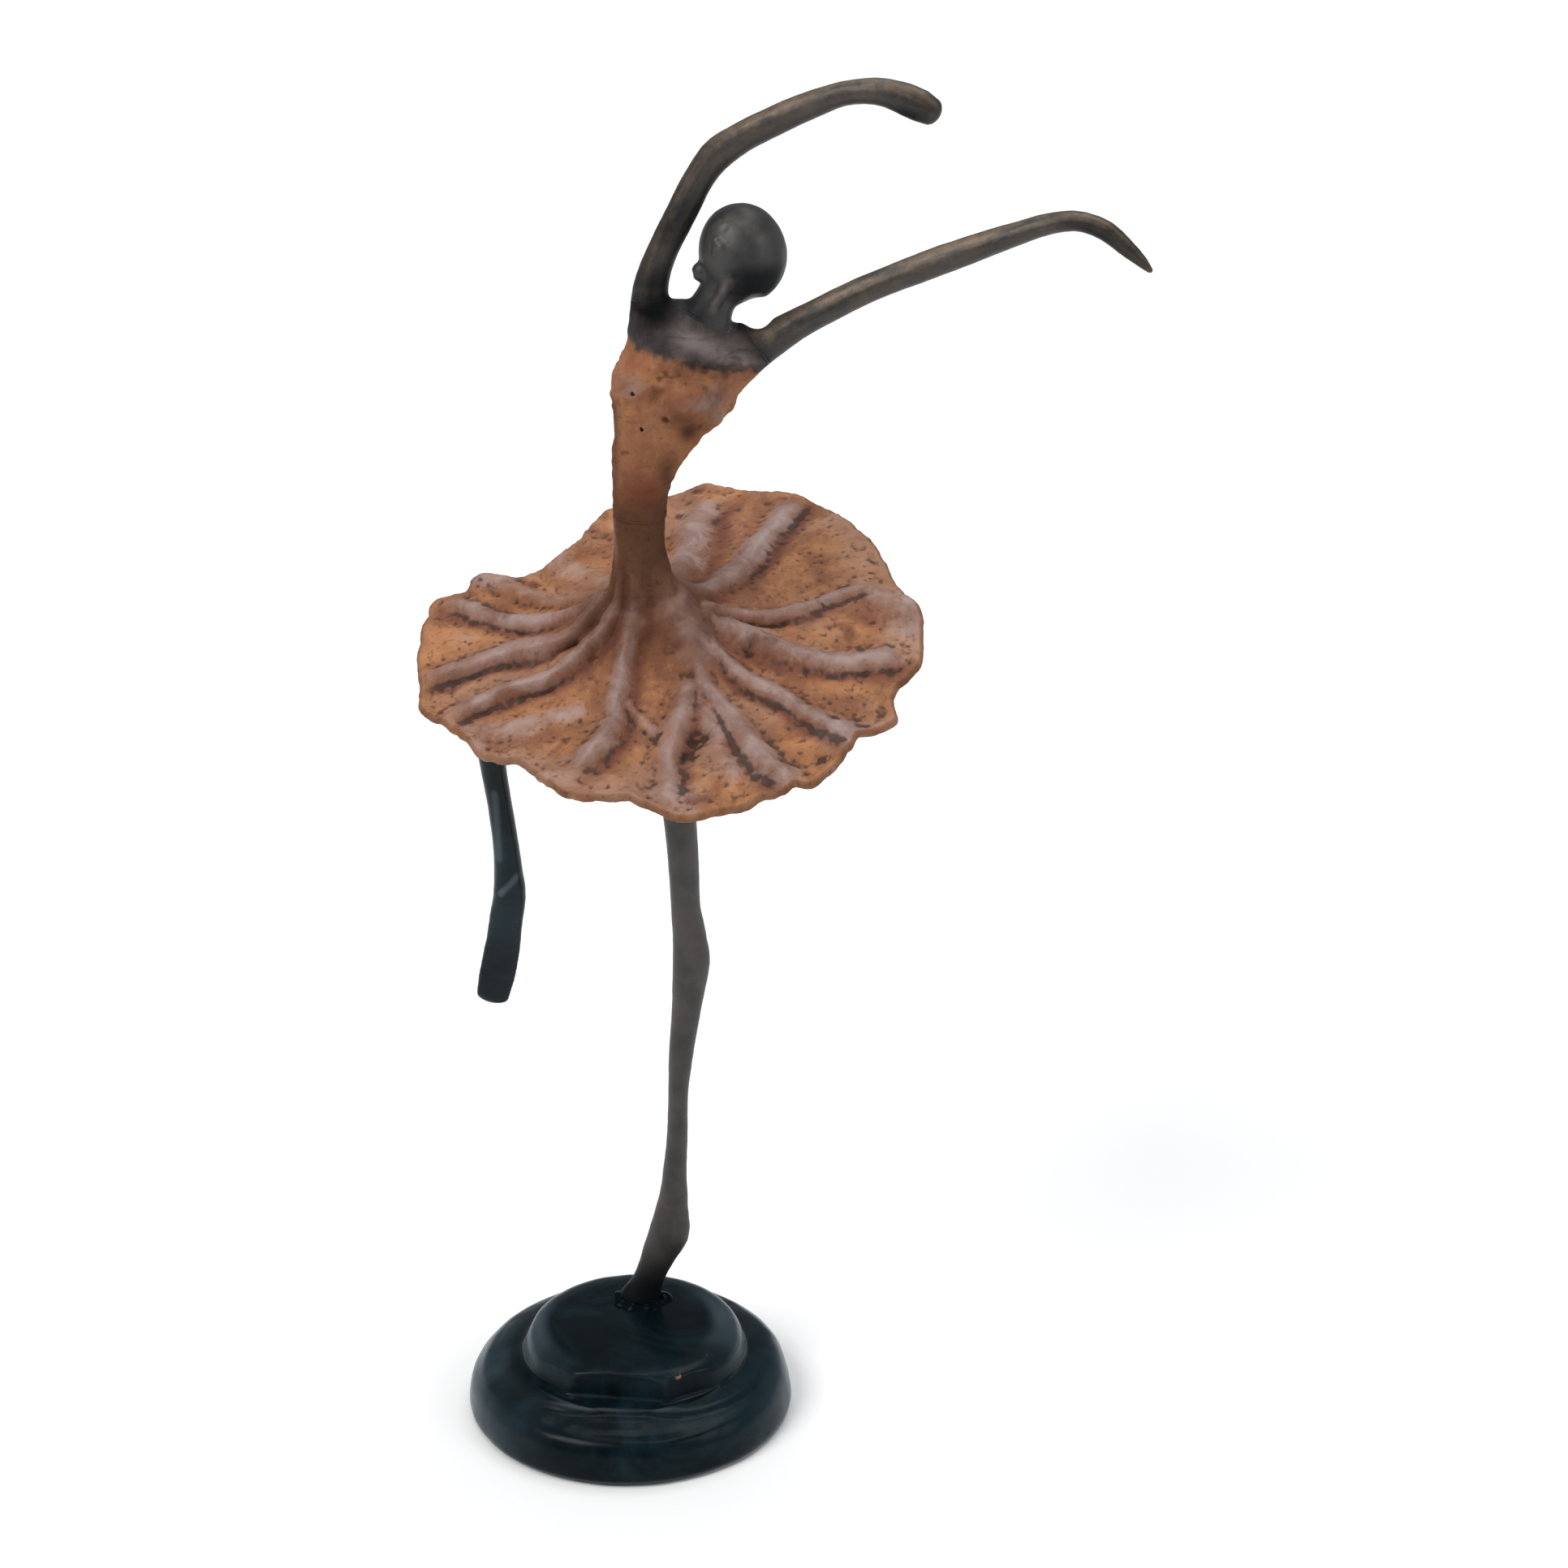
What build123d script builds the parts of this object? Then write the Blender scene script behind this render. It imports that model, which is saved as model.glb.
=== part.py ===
"""Dancer statuette in cast bronze: a figure in a tutu, brazed up from section castings on a hollow base.

Millimetres, +Z up. The origin is the centre of the base's underside. +X is the side that the
extended arm points to, and the dancer's chest faces -Y. Each casting ends at a seam: its neighbour
plugs in with a spigot and a round tenon, and a ring of filler metal closes the groove between them.
"""

import math
import os

from build123d import *

# Driving dimensions
BASE_DIAMETER = 110.0
BASE_HEIGHT = 30.5
FELT_THICKNESS = 1.2
FELT_INSET = 2.0
CASTING_WALL = 5.0
SKIRT_THICKNESS = 3.8
FILLER_GROOVE = 1.2
TENON_RADIUS = 2.4
TENON_LENGTH = 7.0
TENON_CLEARANCE = 0.05

# Limbs run through stations of (x, y, z, width, depth). Width is across the limb as seen along +Y,
# and depth is the other way through it.
STANDING_LEG = [
    (15.3, 1.2, 250.8, 13.0, 12.5),
    (18.0, 1.5, 232.0, 11.0, 10.8),
    (19.4, 2.2, 214.0, 10.4, 10.0),
    (20.2, 3.4, 198.0, 10.1, 9.4),
    (20.8, 4.6, 182.0, 9.8, 9.0),
    (22.3, 6.0, 165.0, 12.2, 9.4),
    (20.6, 7.0, 147.0, 9.9, 8.4),
    (18.4, 8.0, 128.0, 8.1, 7.4),
    (17.3, 9.0, 112.0, 6.9, 6.7),
    (16.7, 10.0, 96.0, 7.1, 6.8),
    (15.5, 11.0, 80.0, 8.2, 7.4),
    (14.6, 12.0, 67.0, 11.5, 8.4),
    (12.8, 12.8, 57.0, 13.6, 9.2),
    (7.6, 13.8, 43.0, 11.4, 9.0),
    (5.0, 14.5, BASE_HEIGHT, 11.6, 9.6),
]
RAISED_LEG = [
    (-1.2, 4.2, 262.0, 12.5, 12.0),
    (-17.0, 8.0, 262.0, 10.6, 10.4),
    (-31.0, 12.0, 260.5, 9.9, 9.7),
    (-40.0, 14.5, 254.0, 10.6, 10.2),
    (-42.0, 14.6, 242.0, 9.5, 9.3),
    (-40.7, 14.0, 228.0, 8.5, 8.3),
    (-38.6, 12.8, 212.0, 8.2, 8.0),
    (-37.2, 11.2, 197.0, 9.4, 8.8),
    (-36.8, 10.0, 186.0, 10.6, 8.8),
    (-38.6, 8.2, 172.0, 11.3, 6.4),
    (-41.0, 6.5, 160.0, 11.8, 5.4),
    (-43.2, 5.0, 148.6, 8.0, 3.6),
]
RAISED_ARM = [
    (12.0, -1.9, 390.2, 12.0, 10.0),
    (12.8, -1.0, 397.0, 9.9, 9.0),
    (16.4, 0.2, 406.0, 9.3, 8.4),
    (21.8, 1.2, 416.5, 9.4, 8.2),
    (27.6, 2.0, 427.4, 9.3, 8.2),
    (32.8, 1.4, 434.4, 9.8, 8.4),
    (41.0, -0.8, 440.4, 9.2, 8.0),
    (54.0, -3.8, 447.6, 8.7, 7.4),
    (66.0, -6.4, 453.4, 7.6, 6.8),
    (76.0, -8.8, 455.8, 7.5, 6.6),
    (86.8, -11.0, 454.4, 9.3, 7.2),
    (94.0, -13.0, 452.0, 9.2, 6.6),
    (98.0, -14.2, 449.8, 6.4, 4.6),
]
EXTENDED_ARM = [
    (45.5, -1.4, 375.7, 12.2, 10.4),
    (56.6, 0.0, 382.1, 9.8, 8.6),
    (75.2, 1.5, 391.4, 8.9, 7.8),
    (97.1, 1.5, 400.6, 9.0, 7.6),
    (121.4, -1.0, 410.2, 7.5, 6.8),
    (133.5, -3.0, 414.5, 6.4, 6.2),
    (141.5, -4.6, 415.2, 6.3, 6.0),
    (149.0, -6.4, 412.4, 6.2, 5.6),
    (155.4, -8.6, 407.4, 5.2, 5.0),
    (161.4, -11.0, 401.4, 2.6, 2.4),
]
TORSO = [
    (7.9, -2.5, 322.2, 16.2, 13.0),
    (8.5, -2.8, 331.0, 17.4, 13.6),
    (10.4, -3.2, 341.0, 21.5, 15.0),
    (13.4, -3.6, 349.0, 26.0, 17.0),
    (15.8, -4.0, 357.0, 33.0, 20.0),
    (18.2, -4.2, 364.0, 36.5, 20.5),
    (21.0, -3.8, 371.0, 36.0, 18.0),
    (24.5, -3.4, 377.5, 31.0, 15.0),
    (28.5, -3.0, 383.6, 17.5, 13.5),
]
RAISED_SHOULDER = [
    (18.0, -3.4, 373.0, 17.0, 14.0),
    (13.8, -2.6, 382.0, 13.6, 11.4),
    (12.0, -2.0, 389.0, 12.0, 10.0),
]
EXTENDED_SHOULDER = [
    (25.0, -3.6, 363.5, 21.0, 16.0),
    (35.5, -2.4, 369.5, 15.5, 12.6),
    (44.4, -1.5, 375.1, 12.2, 10.4),
]
NECK = [
    (29.4, -3.0, 385.6, 14.6, 13.0),
    (32.8, -3.0, 391.8, 13.0, 12.4),
    (36.8, -2.4, 399.4, 14.0, 13.0),
]
BREASTS = [((6.8, -8.2, 366.0), 6.0), ((22.0, -9.6, 359.6), 7.2)]

# Head: an egg on a leaning axis, with a bun at the nape
HEAD_CENTRE = Vector(40.2, -1.0, 404.6)
HEAD_HALF_WIDTH = 13.2
HEAD_HALF_LENGTH = 14.9
HEAD_LEAN = Vector(-0.22, 0.10, 0.97)
BUN_CENTRE = Vector(29.3, 2.0, 398.4)
BUN_RADIUS = 4.4

# Skirt: a shallow trumpet about the waist, cut to a wavy rim, in a plane that tips forwards
SKIRT_FOOT = Vector(10.5, 2.0, 276.6)
SKIRT_NORMAL = Vector(-0.103, -0.280, 0.954)
SKIRT_PROFILE = [(9.0, 24.0), (12.0, 18.5), (18.0, 13.0), (28.0, 8.0), (42.0, 4.0), (60.0, 1.5)]
SKIRT_LIMIT = 98.0
HUB_UNDERSIDE = 10.0
HUB_RADIUS = 10.0
# Rim lobes as (degrees about the waist, radius)
SKIRT_RIM = [
    (0, 86), (16, 82), (30, 82.5), (54, 87.5), (70, 84), (79, 86), (88, 79), (102, 75),
    (114, 68), (128, 66), (140, 68), (147, 73), (158, 77), (176, 74), (196, 74.5), (212, 68),
    (224, 69), (234, 65.5), (250, 74), (260, 72.5), (279, 87), (293, 86), (299, 83), (307, 90),
    (318, 83), (328, 89.5), (337, 86), (346, 87.5),
]
# Pleat ribs as (degrees about the waist, inner radius, outer radius)
SKIRT_RIBS = [
    (76, 20, 74), (50, 20, 76), (8, 20, 66), (343, 20, 78), (323, 20, 76), (302, 20, 74),
    (290, 48, 72), (279, 30, 74), (264, 38, 62), (254, 20, 66), (226, 44, 60), (209, 20, 62),
    (186, 20, 66), (161, 20, 66), (126, 20, 56), (103, 24, 64), (28, 52, 74),
]
RIB_RADII = (2.2, 2.9)
RIB_SINK = 0.6
COLUMN = [
    (9.3, -1.5, 291.0, 19.0, 18.0),
    (8.5, -2.0, 300.0, 16.4, 14.6),
    (7.9, -2.4, 310.0, 15.6, 13.2),
    (7.8, -2.5, 321.0, 16.2, 13.0),
]

PELVIS = [
    (11.6, 0.0, 274.0, 20.0, 18.0),
    (13.6, 0.6, 263.0, 18.0, 16.6),
    (15.0, 1.1, 252.0, 13.0, 12.5),
]
PELVIS_STUB = [
    (11.0, 1.4, 262.5, 14.0, 13.6),
    (6.0, 2.6, 262.2, 13.2, 12.8),
    (0.0, 3.9, 262.0, 12.5, 12.0),
]

# Base: outline and hollow as (radius, height), and the upper tier's flats as (degrees, distance)
UPPER_TIER_FOOT = 19.2
LOWER_TIER = [
    (BASE_DIAMETER / 2 - 0.5, FELT_THICKNESS), (BASE_DIAMETER / 2, 3.5), (54.6, 7.0), (53.4, 12.0),
    (51.4, 15.0), (49.0, 16.8), (44.0, 18.0),
]
UPPER_TIER = [(38.6, UPPER_TIER_FOOT), (37.4, 25.6), (35.2, 28.6), (31.0, BASE_HEIGHT)]
CAVITY = [
    (BASE_DIAMETER / 2 - CASTING_WALL, FELT_THICKNESS), (48.6, 9.0), (44.4, 12.6), (26.8, 13.0), (26.8, 22.6),
    (24.4, BASE_HEIGHT - CASTING_WALL),
]
BASE_FACETS = [(-98, 32.0), (-60, 34.8), (-133, 34.8)]
FOOT_CENTRE = Vector(5.0, 14.5, BASE_HEIGHT)
BEAD_RADII = (8.6, 6.4)
BEAD_HEIGHT = 2.4


def cross_section(x, y, z, width, depth, tangent):
    """Ellipse across a limb, with its width in the X-Z picture plane."""
    across = Vector(0, 1, 0).cross(tangent).normalized()
    return Plane(origin=(x, y, z), x_dir=across, z_dir=tangent) * Ellipse(width / 2, depth / 2)


def tangents(stations, start=None, end=None):
    """Direction of a limb at each station, from its neighbours or from a given end direction."""
    points = [Vector(*s[:3]) for s in stations]
    found = []
    for i in range(len(points)):
        before, after = points[max(i - 1, 0)], points[min(i + 1, len(points) - 1)]
        found.append((after - before).normalized())
    found[0] = start.normalized() if start else found[0]
    found[-1] = end.normalized() if end else found[-1]
    return found


def limb(stations, start=None, end=None):
    """Smooth casting through the stations."""
    directions = tangents(stations, start, end)
    return loft([cross_section(*s, t) for s, t in zip(stations, directions)])


def rounded_tip(stations):
    """Blunt end of a hand or a toe, at a limb's last station."""
    x, y, z, _, depth = stations[-1]
    return Pos(x, y, z) * Sphere(depth / 2)


class Seam:
    """Where a child casting plugs into its parent, pointing out of the parent."""

    def __init__(self, station, direction):
        self.direction = Vector(*direction).normalized()
        self.start = Vector(*station[:3])
        self.width, self.depth = station[3:]
        self.end = self.start + self.direction * FILLER_GROOVE

    def ellipse(self, inset=0.0):
        x, y, z = self.start
        return cross_section(x, y, z, self.width - 2 * inset, self.depth - 2 * inset, self.direction)

    def peg(self, radius, overlap):
        """Round peg into the parent, reaching forwards by the overlap."""
        foot = self.start - self.direction * TENON_LENGTH
        return Plane(origin=foot, z_dir=self.direction) * Cylinder(
            radius, TENON_LENGTH + overlap, align=(Align.CENTER, Align.CENTER, Align.MIN)
        )

    def spigot(self):
        """The child's reduced neck inside the filler ring, with its tenon."""
        neck = extrude(self.ellipse(FILLER_GROOVE), FILLER_GROOVE + 0.01, dir=self.direction)
        return neck + self.peg(TENON_RADIUS, FILLER_GROOVE)

    def socket(self):
        return self.peg(TENON_RADIUS + TENON_CLEARANCE, 0.0)

    def filler(self):
        """Ring of filler metal, flush with both castings."""
        ring = self.ellipse() - self.ellipse(FILLER_GROOVE)
        return extrude(ring, FILLER_GROOVE, dir=self.direction)

    def child_start(self):
        """The station at which the child casting starts."""
        return (*self.end, self.width, self.depth)


def polar(degrees, radius, height=0.0):
    angle = math.radians(degrees)
    return Vector(radius * math.cos(angle), radius * math.sin(angle), height)


SKIRT_PLANE = Plane(origin=SKIRT_FOOT, x_dir=Vector(0, 1, 0).cross(SKIRT_NORMAL), z_dir=SKIRT_NORMAL)
HUB_SEAT = SKIRT_PLANE.from_local_coords(Vector(0, 0, HUB_UNDERSIDE))

WAIST_SEAM = Seam(COLUMN[-1], (0.06, -0.03, 1))
PELVIS_SEAM = Seam((*HUB_SEAT, 17.0, 16.0), tuple(SKIRT_NORMAL * -1))
STANDING_HIP_SEAM = Seam(PELVIS[-1], (0.12, 0.02, -1))
RAISED_HIP_SEAM = Seam(PELVIS_STUB[-1], (-1, 0.22, 0))
RAISED_SHOULDER_SEAM = Seam(RAISED_SHOULDER[-1], (0.0, 0.06, 1))
EXTENDED_SHOULDER_SEAM = Seam(EXTENDED_SHOULDER[-1], (0.87, 0.08, 0.49))
NECK_SEAM = Seam((28.9, -3.0, 384.5, 14.8, 13.2), (0.46, 0, 0.89))


def base_casting():
    """Hollow two-tier base with facets on the upper tier and a hole for the foot's tenon."""
    outline = Polyline((0, FELT_THICKNESS), *LOWER_TIER, *UPPER_TIER, (0, BASE_HEIGHT), close=True)
    cavity = Polyline((0, FELT_THICKNESS), *CAVITY, (0, BASE_HEIGHT - CASTING_WALL), close=True)
    solid = revolve(Plane.XZ * make_face(outline), Axis.Z)
    for degrees, distance in BASE_FACETS:
        beyond = Box(BASE_DIAMETER, BASE_DIAMETER, BASE_HEIGHT, align=(Align.MIN, Align.CENTER, Align.MIN))
        solid -= Rot(0, 0, degrees) * Pos(distance, 0, UPPER_TIER_FOOT) * beyond
    solid -= revolve(Plane.XZ * make_face(cavity), Axis.Z)
    hole = Cylinder(TENON_RADIUS + TENON_CLEARANCE, 3 * CASTING_WALL)
    return solid - Pos(*FOOT_CENTRE) * hole


def base_felt_pad():
    return Cylinder(BASE_DIAMETER / 2 - FELT_INSET, FELT_THICKNESS, align=(Align.CENTER, Align.CENTER, Align.MIN))


def foot_braze_bead(leg):
    bead = Pos(*FOOT_CENTRE) * Cone(*BEAD_RADII, BEAD_HEIGHT, align=(Align.CENTER, Align.CENTER, Align.MIN))
    return bead - leg


def standing_leg():
    stations = [STANDING_HIP_SEAM.child_start()] + STANDING_LEG[1:]
    leg = limb(stations, STANDING_HIP_SEAM.direction, Vector(0, 0, -1)) + STANDING_HIP_SEAM.spigot()
    tenon = Cylinder(TENON_RADIUS, TENON_LENGTH, align=(Align.CENTER, Align.CENTER, Align.MAX))
    return leg + Pos(*FOOT_CENTRE) * tenon


def raised_leg():
    stations = [RAISED_HIP_SEAM.child_start()] + RAISED_LEG[1:]
    leg = limb(stations, RAISED_HIP_SEAM.direction) + RAISED_HIP_SEAM.spigot()
    return leg + rounded_tip(stations)


def pelvis_block():
    top = PELVIS_SEAM.child_start()
    block = limb([top] + PELVIS, PELVIS_SEAM.direction, STANDING_HIP_SEAM.direction)
    block += limb(PELVIS_STUB, end=RAISED_HIP_SEAM.direction)
    block += PELVIS_SEAM.spigot()
    return block - STANDING_HIP_SEAM.socket() - RAISED_HIP_SEAM.socket()


def profile_height(radius):
    """Height of the skirt's top above its rim plane, at a radius from the waist."""
    for (r0, h0), (r1, h1) in zip(SKIRT_PROFILE, SKIRT_PROFILE[1:]):
        if radius <= r1:
            return h0 + (h1 - h0) * (radius - r0) / (r1 - r0)
    r0, h0 = SKIRT_PROFILE[-1]
    return h0 * (SKIRT_LIMIT - radius) / (SKIRT_LIMIT - r0)


def skirt_rib(degrees, inner, outer):
    """One pleat: a tapered bar with round ends, half sunk in the skirt's top."""
    start = polar(degrees, inner, profile_height(inner) - RIB_SINK)
    end = polar(degrees, outer, profile_height(outer) - RIB_SINK)
    thin, thick = RIB_RADII
    along = Plane(origin=start, z_dir=end - start)
    bar = along * Cone(thin, thick, (end - start).length, align=(Align.CENTER, Align.CENTER, Align.MIN))
    return bar + Pos(*end) * Sphere(thick)


def tutu_skirt():
    edge = SKIRT_PROFILE + [(SKIRT_LIMIT, 0.0)]
    under = [(r, h - SKIRT_THICKNESS) for r, h in SKIRT_PROFILE[2:]] + [(SKIRT_LIMIT, -SKIRT_THICKNESS)]
    outline = Polyline(
        (0, HUB_UNDERSIDE), (HUB_RADIUS, HUB_UNDERSIDE), *under, *reversed(edge), (0, edge[0][1]), close=True
    )
    sheet = revolve(Plane.XZ * make_face(outline), Axis.Z)
    rim = make_face(Spline([polar(a, r) for a, r in SKIRT_RIM], periodic=True))
    sheet &= extrude(rim, SKIRT_LIMIT, dir=(0, 0, 1), both=True)
    for rib in SKIRT_RIBS:
        sheet += skirt_rib(*rib)
    skirt = SKIRT_PLANE * sheet + limb(COLUMN, end=WAIST_SEAM.direction)
    return skirt - WAIST_SEAM.socket() - PELVIS_SEAM.socket()


def bodice_torso():
    stations = [WAIST_SEAM.child_start()] + TORSO[1:]
    torso = limb(stations, WAIST_SEAM.direction, NECK_SEAM.direction) + WAIST_SEAM.spigot()
    torso += limb(RAISED_SHOULDER, end=RAISED_SHOULDER_SEAM.direction)
    torso += limb(EXTENDED_SHOULDER, end=EXTENDED_SHOULDER_SEAM.direction)
    for centre, radius in BREASTS:
        torso += Pos(*centre) * Sphere(radius)
    for seam in (RAISED_SHOULDER_SEAM, EXTENDED_SHOULDER_SEAM, NECK_SEAM):
        torso -= seam.socket()
    return torso


def raised_arm():
    stations = [RAISED_SHOULDER_SEAM.child_start()] + RAISED_ARM[1:]
    arm = limb(stations, RAISED_SHOULDER_SEAM.direction) + RAISED_SHOULDER_SEAM.spigot()
    return arm + rounded_tip(stations)


def extended_arm():
    stations = [EXTENDED_SHOULDER_SEAM.child_start()] + EXTENDED_ARM[1:]
    return limb(stations, EXTENDED_SHOULDER_SEAM.direction) + EXTENDED_SHOULDER_SEAM.spigot()


def head_and_neck():
    stations = [NECK_SEAM.child_start()] + NECK[1:]
    neck = limb(stations, NECK_SEAM.direction)
    half = EllipticalCenterArc((0, 0), HEAD_HALF_WIDTH, HEAD_HALF_LENGTH, start_angle=-90, arc_size=180)
    egg = revolve(Plane.XZ * make_face([half, Line(half @ 1, half @ 0)]), Axis.Z)
    # The half turn keeps the surface's seam clear of the neck and the bun
    head = Plane(origin=HEAD_CENTRE, z_dir=HEAD_LEAN) * (Rot(0, 0, 180) * egg)
    return head + Pos(*BUN_CENTRE) * Sphere(BUN_RADIUS) + neck + NECK_SEAM.spigot()


def main():
    leg = standing_leg()
    nodes = {
        "base_casting": base_casting(),
        "base_felt_pad": base_felt_pad(),
        "foot_braze_bead": foot_braze_bead(leg),
        "standing_leg": leg,
        "raised_leg": raised_leg(),
        "pelvis_block": pelvis_block(),
        "tutu_skirt": tutu_skirt(),
        "bodice_torso": bodice_torso(),
        "raised_arm": raised_arm(),
        "extended_arm": extended_arm(),
        "head_and_neck": head_and_neck(),
        "waist_braze_ring": WAIST_SEAM.filler(),
        "pelvis_braze_ring": PELVIS_SEAM.filler(),
        "standing_hip_braze_ring": STANDING_HIP_SEAM.filler(),
        "raised_hip_braze_ring": RAISED_HIP_SEAM.filler(),
        "raised_shoulder_braze_ring": RAISED_SHOULDER_SEAM.filler(),
        "extended_shoulder_braze_ring": EXTENDED_SHOULDER_SEAM.filler(),
        "neck_braze_ring": NECK_SEAM.filler(),
    }
    os.makedirs("parts", exist_ok=True)
    for name, shape in nodes.items():
        export_step(shape, f"parts/{name}.step")


main()
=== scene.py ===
"""Looks of a cast-bronze dancer statuette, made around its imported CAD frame.

Sizes are millimetres until a mesh is written, which is in metres. The figure is sculpted as distance
fields that are cut at the castings' seams, so each casting is its own mesh and the skin runs on
across the braze rings. The skirt and the base are grids of rings.
"""

import math

import bpy
import numpy as np
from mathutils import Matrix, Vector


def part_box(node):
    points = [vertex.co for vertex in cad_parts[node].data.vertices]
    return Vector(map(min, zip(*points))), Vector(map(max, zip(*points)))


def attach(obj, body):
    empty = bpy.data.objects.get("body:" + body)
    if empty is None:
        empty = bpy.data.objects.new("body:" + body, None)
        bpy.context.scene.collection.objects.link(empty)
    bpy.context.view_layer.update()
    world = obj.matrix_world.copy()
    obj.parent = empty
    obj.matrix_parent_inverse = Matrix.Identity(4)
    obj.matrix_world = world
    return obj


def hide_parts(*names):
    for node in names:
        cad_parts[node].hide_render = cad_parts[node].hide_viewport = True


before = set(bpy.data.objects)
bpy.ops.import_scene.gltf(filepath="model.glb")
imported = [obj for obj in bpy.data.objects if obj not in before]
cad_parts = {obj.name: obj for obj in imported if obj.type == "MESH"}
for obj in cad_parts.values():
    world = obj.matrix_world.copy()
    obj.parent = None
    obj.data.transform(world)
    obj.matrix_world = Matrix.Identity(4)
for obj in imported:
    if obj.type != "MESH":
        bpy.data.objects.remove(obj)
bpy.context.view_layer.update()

MM = 0.001
PATH_STEP = 3.5
GROOVE = 1.2
SEAM_REACH = 3.0
SEAM_LAP = 0.45
FAR = 16.0
FINE, MEDIUM = 0.42, 0.5

# Limbs run through stations of (x, y, z, width, depth), with the width across the X-Z picture plane. Many
# places and widths were measured on the photo by a scratch program; y and depth are judged.
STANDING_LEG = [
    (14.6, 0.9, 256.0, 13.6, 12.8),
    (15.3, 1.2, 250.8, 13.0, 12.5),
    (18.0, 1.5, 232.0, 11.2, 10.8),
    (19.4, 2.2, 214.0, 10.4, 10.0),
    (20.2, 3.4, 198.0, 9.9, 9.6),
    (20.8, 4.6, 182.0, 9.8, 9.2),
    (21.9, 5.6, 172.0, 11.4, 9.6),
    (22.3, 6.0, 165.0, 12.2, 9.8),
    (21.6, 6.4, 157.0, 11.4, 9.4),
    (20.6, 7.0, 147.0, 9.9, 8.6),
    (18.4, 8.0, 128.0, 8.1, 7.6),
    (17.3, 9.0, 112.0, 6.8, 7.0),
    (16.7, 10.0, 96.0, 7.1, 7.0),
    (15.6, 11.0, 80.0, 8.2, 7.5),
    (14.7, 12.0, 67.0, 11.4, 8.4),
    (13.4, 12.6, 57.5, 13.8, 9.4),
    (10.4, 13.2, 50.0, 12.0, 9.4),
    (7.4, 13.8, 42.0, 10.4, 9.2),
    (5.0, 14.3, 35.0, 11.6, 9.6),
    (3.6, 14.5, 31.0, 14.4, 10.4),
    (3.0, 14.5, 28.0, 15.4, 11.0),
]
RAISED_LEG = [
    (4.0, 3.0, 262.0, 13.4, 12.6),
    (-1.2, 4.2, 262.0, 12.5, 12.0),
    (-17.0, 8.0, 262.0, 10.6, 10.4),
    (-31.0, 12.0, 260.5, 9.8, 9.8),
    (-39.4, 14.2, 256.0, 10.8, 10.4),
    (-42.0, 14.8, 246.0, 9.8, 9.8),
    (-40.7, 14.0, 228.0, 8.4, 8.8),
    (-38.8, 12.8, 214.0, 7.9, 8.4),
    (-37.6, 11.8, 203.0, 8.6, 8.6),
    (-36.9, 10.8, 193.0, 9.8, 9.4),
    (-36.7, 10.0, 186.0, 10.8, 9.2),
    (-37.9, 9.0, 178.0, 10.9, 7.2),
    (-39.2, 8.0, 169.0, 11.5, 6.2),
    (-41.2, 6.6, 159.0, 11.8, 5.4),
    (-43.0, 5.4, 151.5, 10.4, 4.6),
]
RAISED_ARM = [
    (17.5, -3.2, 373.5, 17.0, 14.0),
    (13.6, -2.6, 381.0, 13.4, 11.6),
    (12.0, -1.9, 388.0, 11.8, 10.4),
    (12.8, -1.0, 396.0, 10.2, 9.4),
    (16.4, 0.2, 405.6, 9.3, 8.8),
    (21.8, 1.2, 416.3, 9.4, 8.6),
    (27.8, 2.0, 427.6, 9.3, 8.6),
    (32.2, 1.5, 433.8, 9.9, 8.8),
    (39.4, -0.4, 439.4, 9.3, 8.4),
    (50.0, -2.7, 445.4, 8.9, 8.0),
    (61.0, -5.0, 450.8, 8.3, 7.6),
    (71.6, -7.5, 455.0, 7.3, 7.0),
    (79.8, -9.5, 455.7, 8.1, 7.2),
    (87.0, -11.0, 454.3, 9.4, 7.4),
    (92.6, -12.6, 452.2, 9.8, 7.0),
    (95.4, -13.4, 450.8, 8.4, 6.0),
]
EXTENDED_ARM = [
    (26.0, -3.6, 364.0, 20.0, 15.0),
    (35.5, -2.4, 369.6, 15.6, 12.6),
    (45.5, -1.4, 375.7, 12.2, 10.4),
    (56.6, 0.0, 382.1, 9.8, 8.8),
    (66.0, 1.0, 386.9, 9.2, 8.4),
    (75.2, 1.5, 391.4, 8.9, 8.2),
    (86.0, 2.0, 396.0, 8.9, 8.2),
    (97.1, 1.5, 400.6, 9.0, 8.0),
    (109.3, 0.5, 405.4, 8.5, 7.6),
    (121.4, -1.0, 410.2, 7.5, 7.0),
    (132.5, -2.8, 414.2, 6.4, 6.4),
    (140.8, -4.5, 415.3, 6.3, 6.2),
    (148.0, -6.2, 413.0, 6.2, 5.8),
    (154.0, -8.2, 408.6, 5.5, 5.0),
    (158.6, -9.7, 404.8, 4.0, 3.8),
    (161.4, -11.0, 402.2, 2.2, 2.4),
]
TORSO = [
    (7.6, -2.4, 314.0, 16.0, 13.0),
    (7.9, -2.5, 322.2, 16.2, 13.0),
    (8.5, -2.8, 331.0, 17.4, 13.6),
    (10.4, -3.2, 341.0, 21.5, 15.0),
    (13.2, -3.6, 349.0, 26.0, 16.6),
    (15.8, -4.0, 357.0, 32.0, 18.0),
    (18.0, -4.0, 364.0, 35.0, 18.0),
    (21.2, -3.6, 370.5, 32.0, 16.0),
    (25.2, -3.2, 376.5, 26.0, 14.0),
]
NECK = [
    (27.4, -3.2, 381.0, 15.0, 13.4),
    (29.4, -3.0, 386.0, 13.6, 12.6),
    (32.6, -3.0, 392.0, 12.6, 12.0),
    (37.4, -2.4, 400.4, 13.6, 12.6),
]
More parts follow.
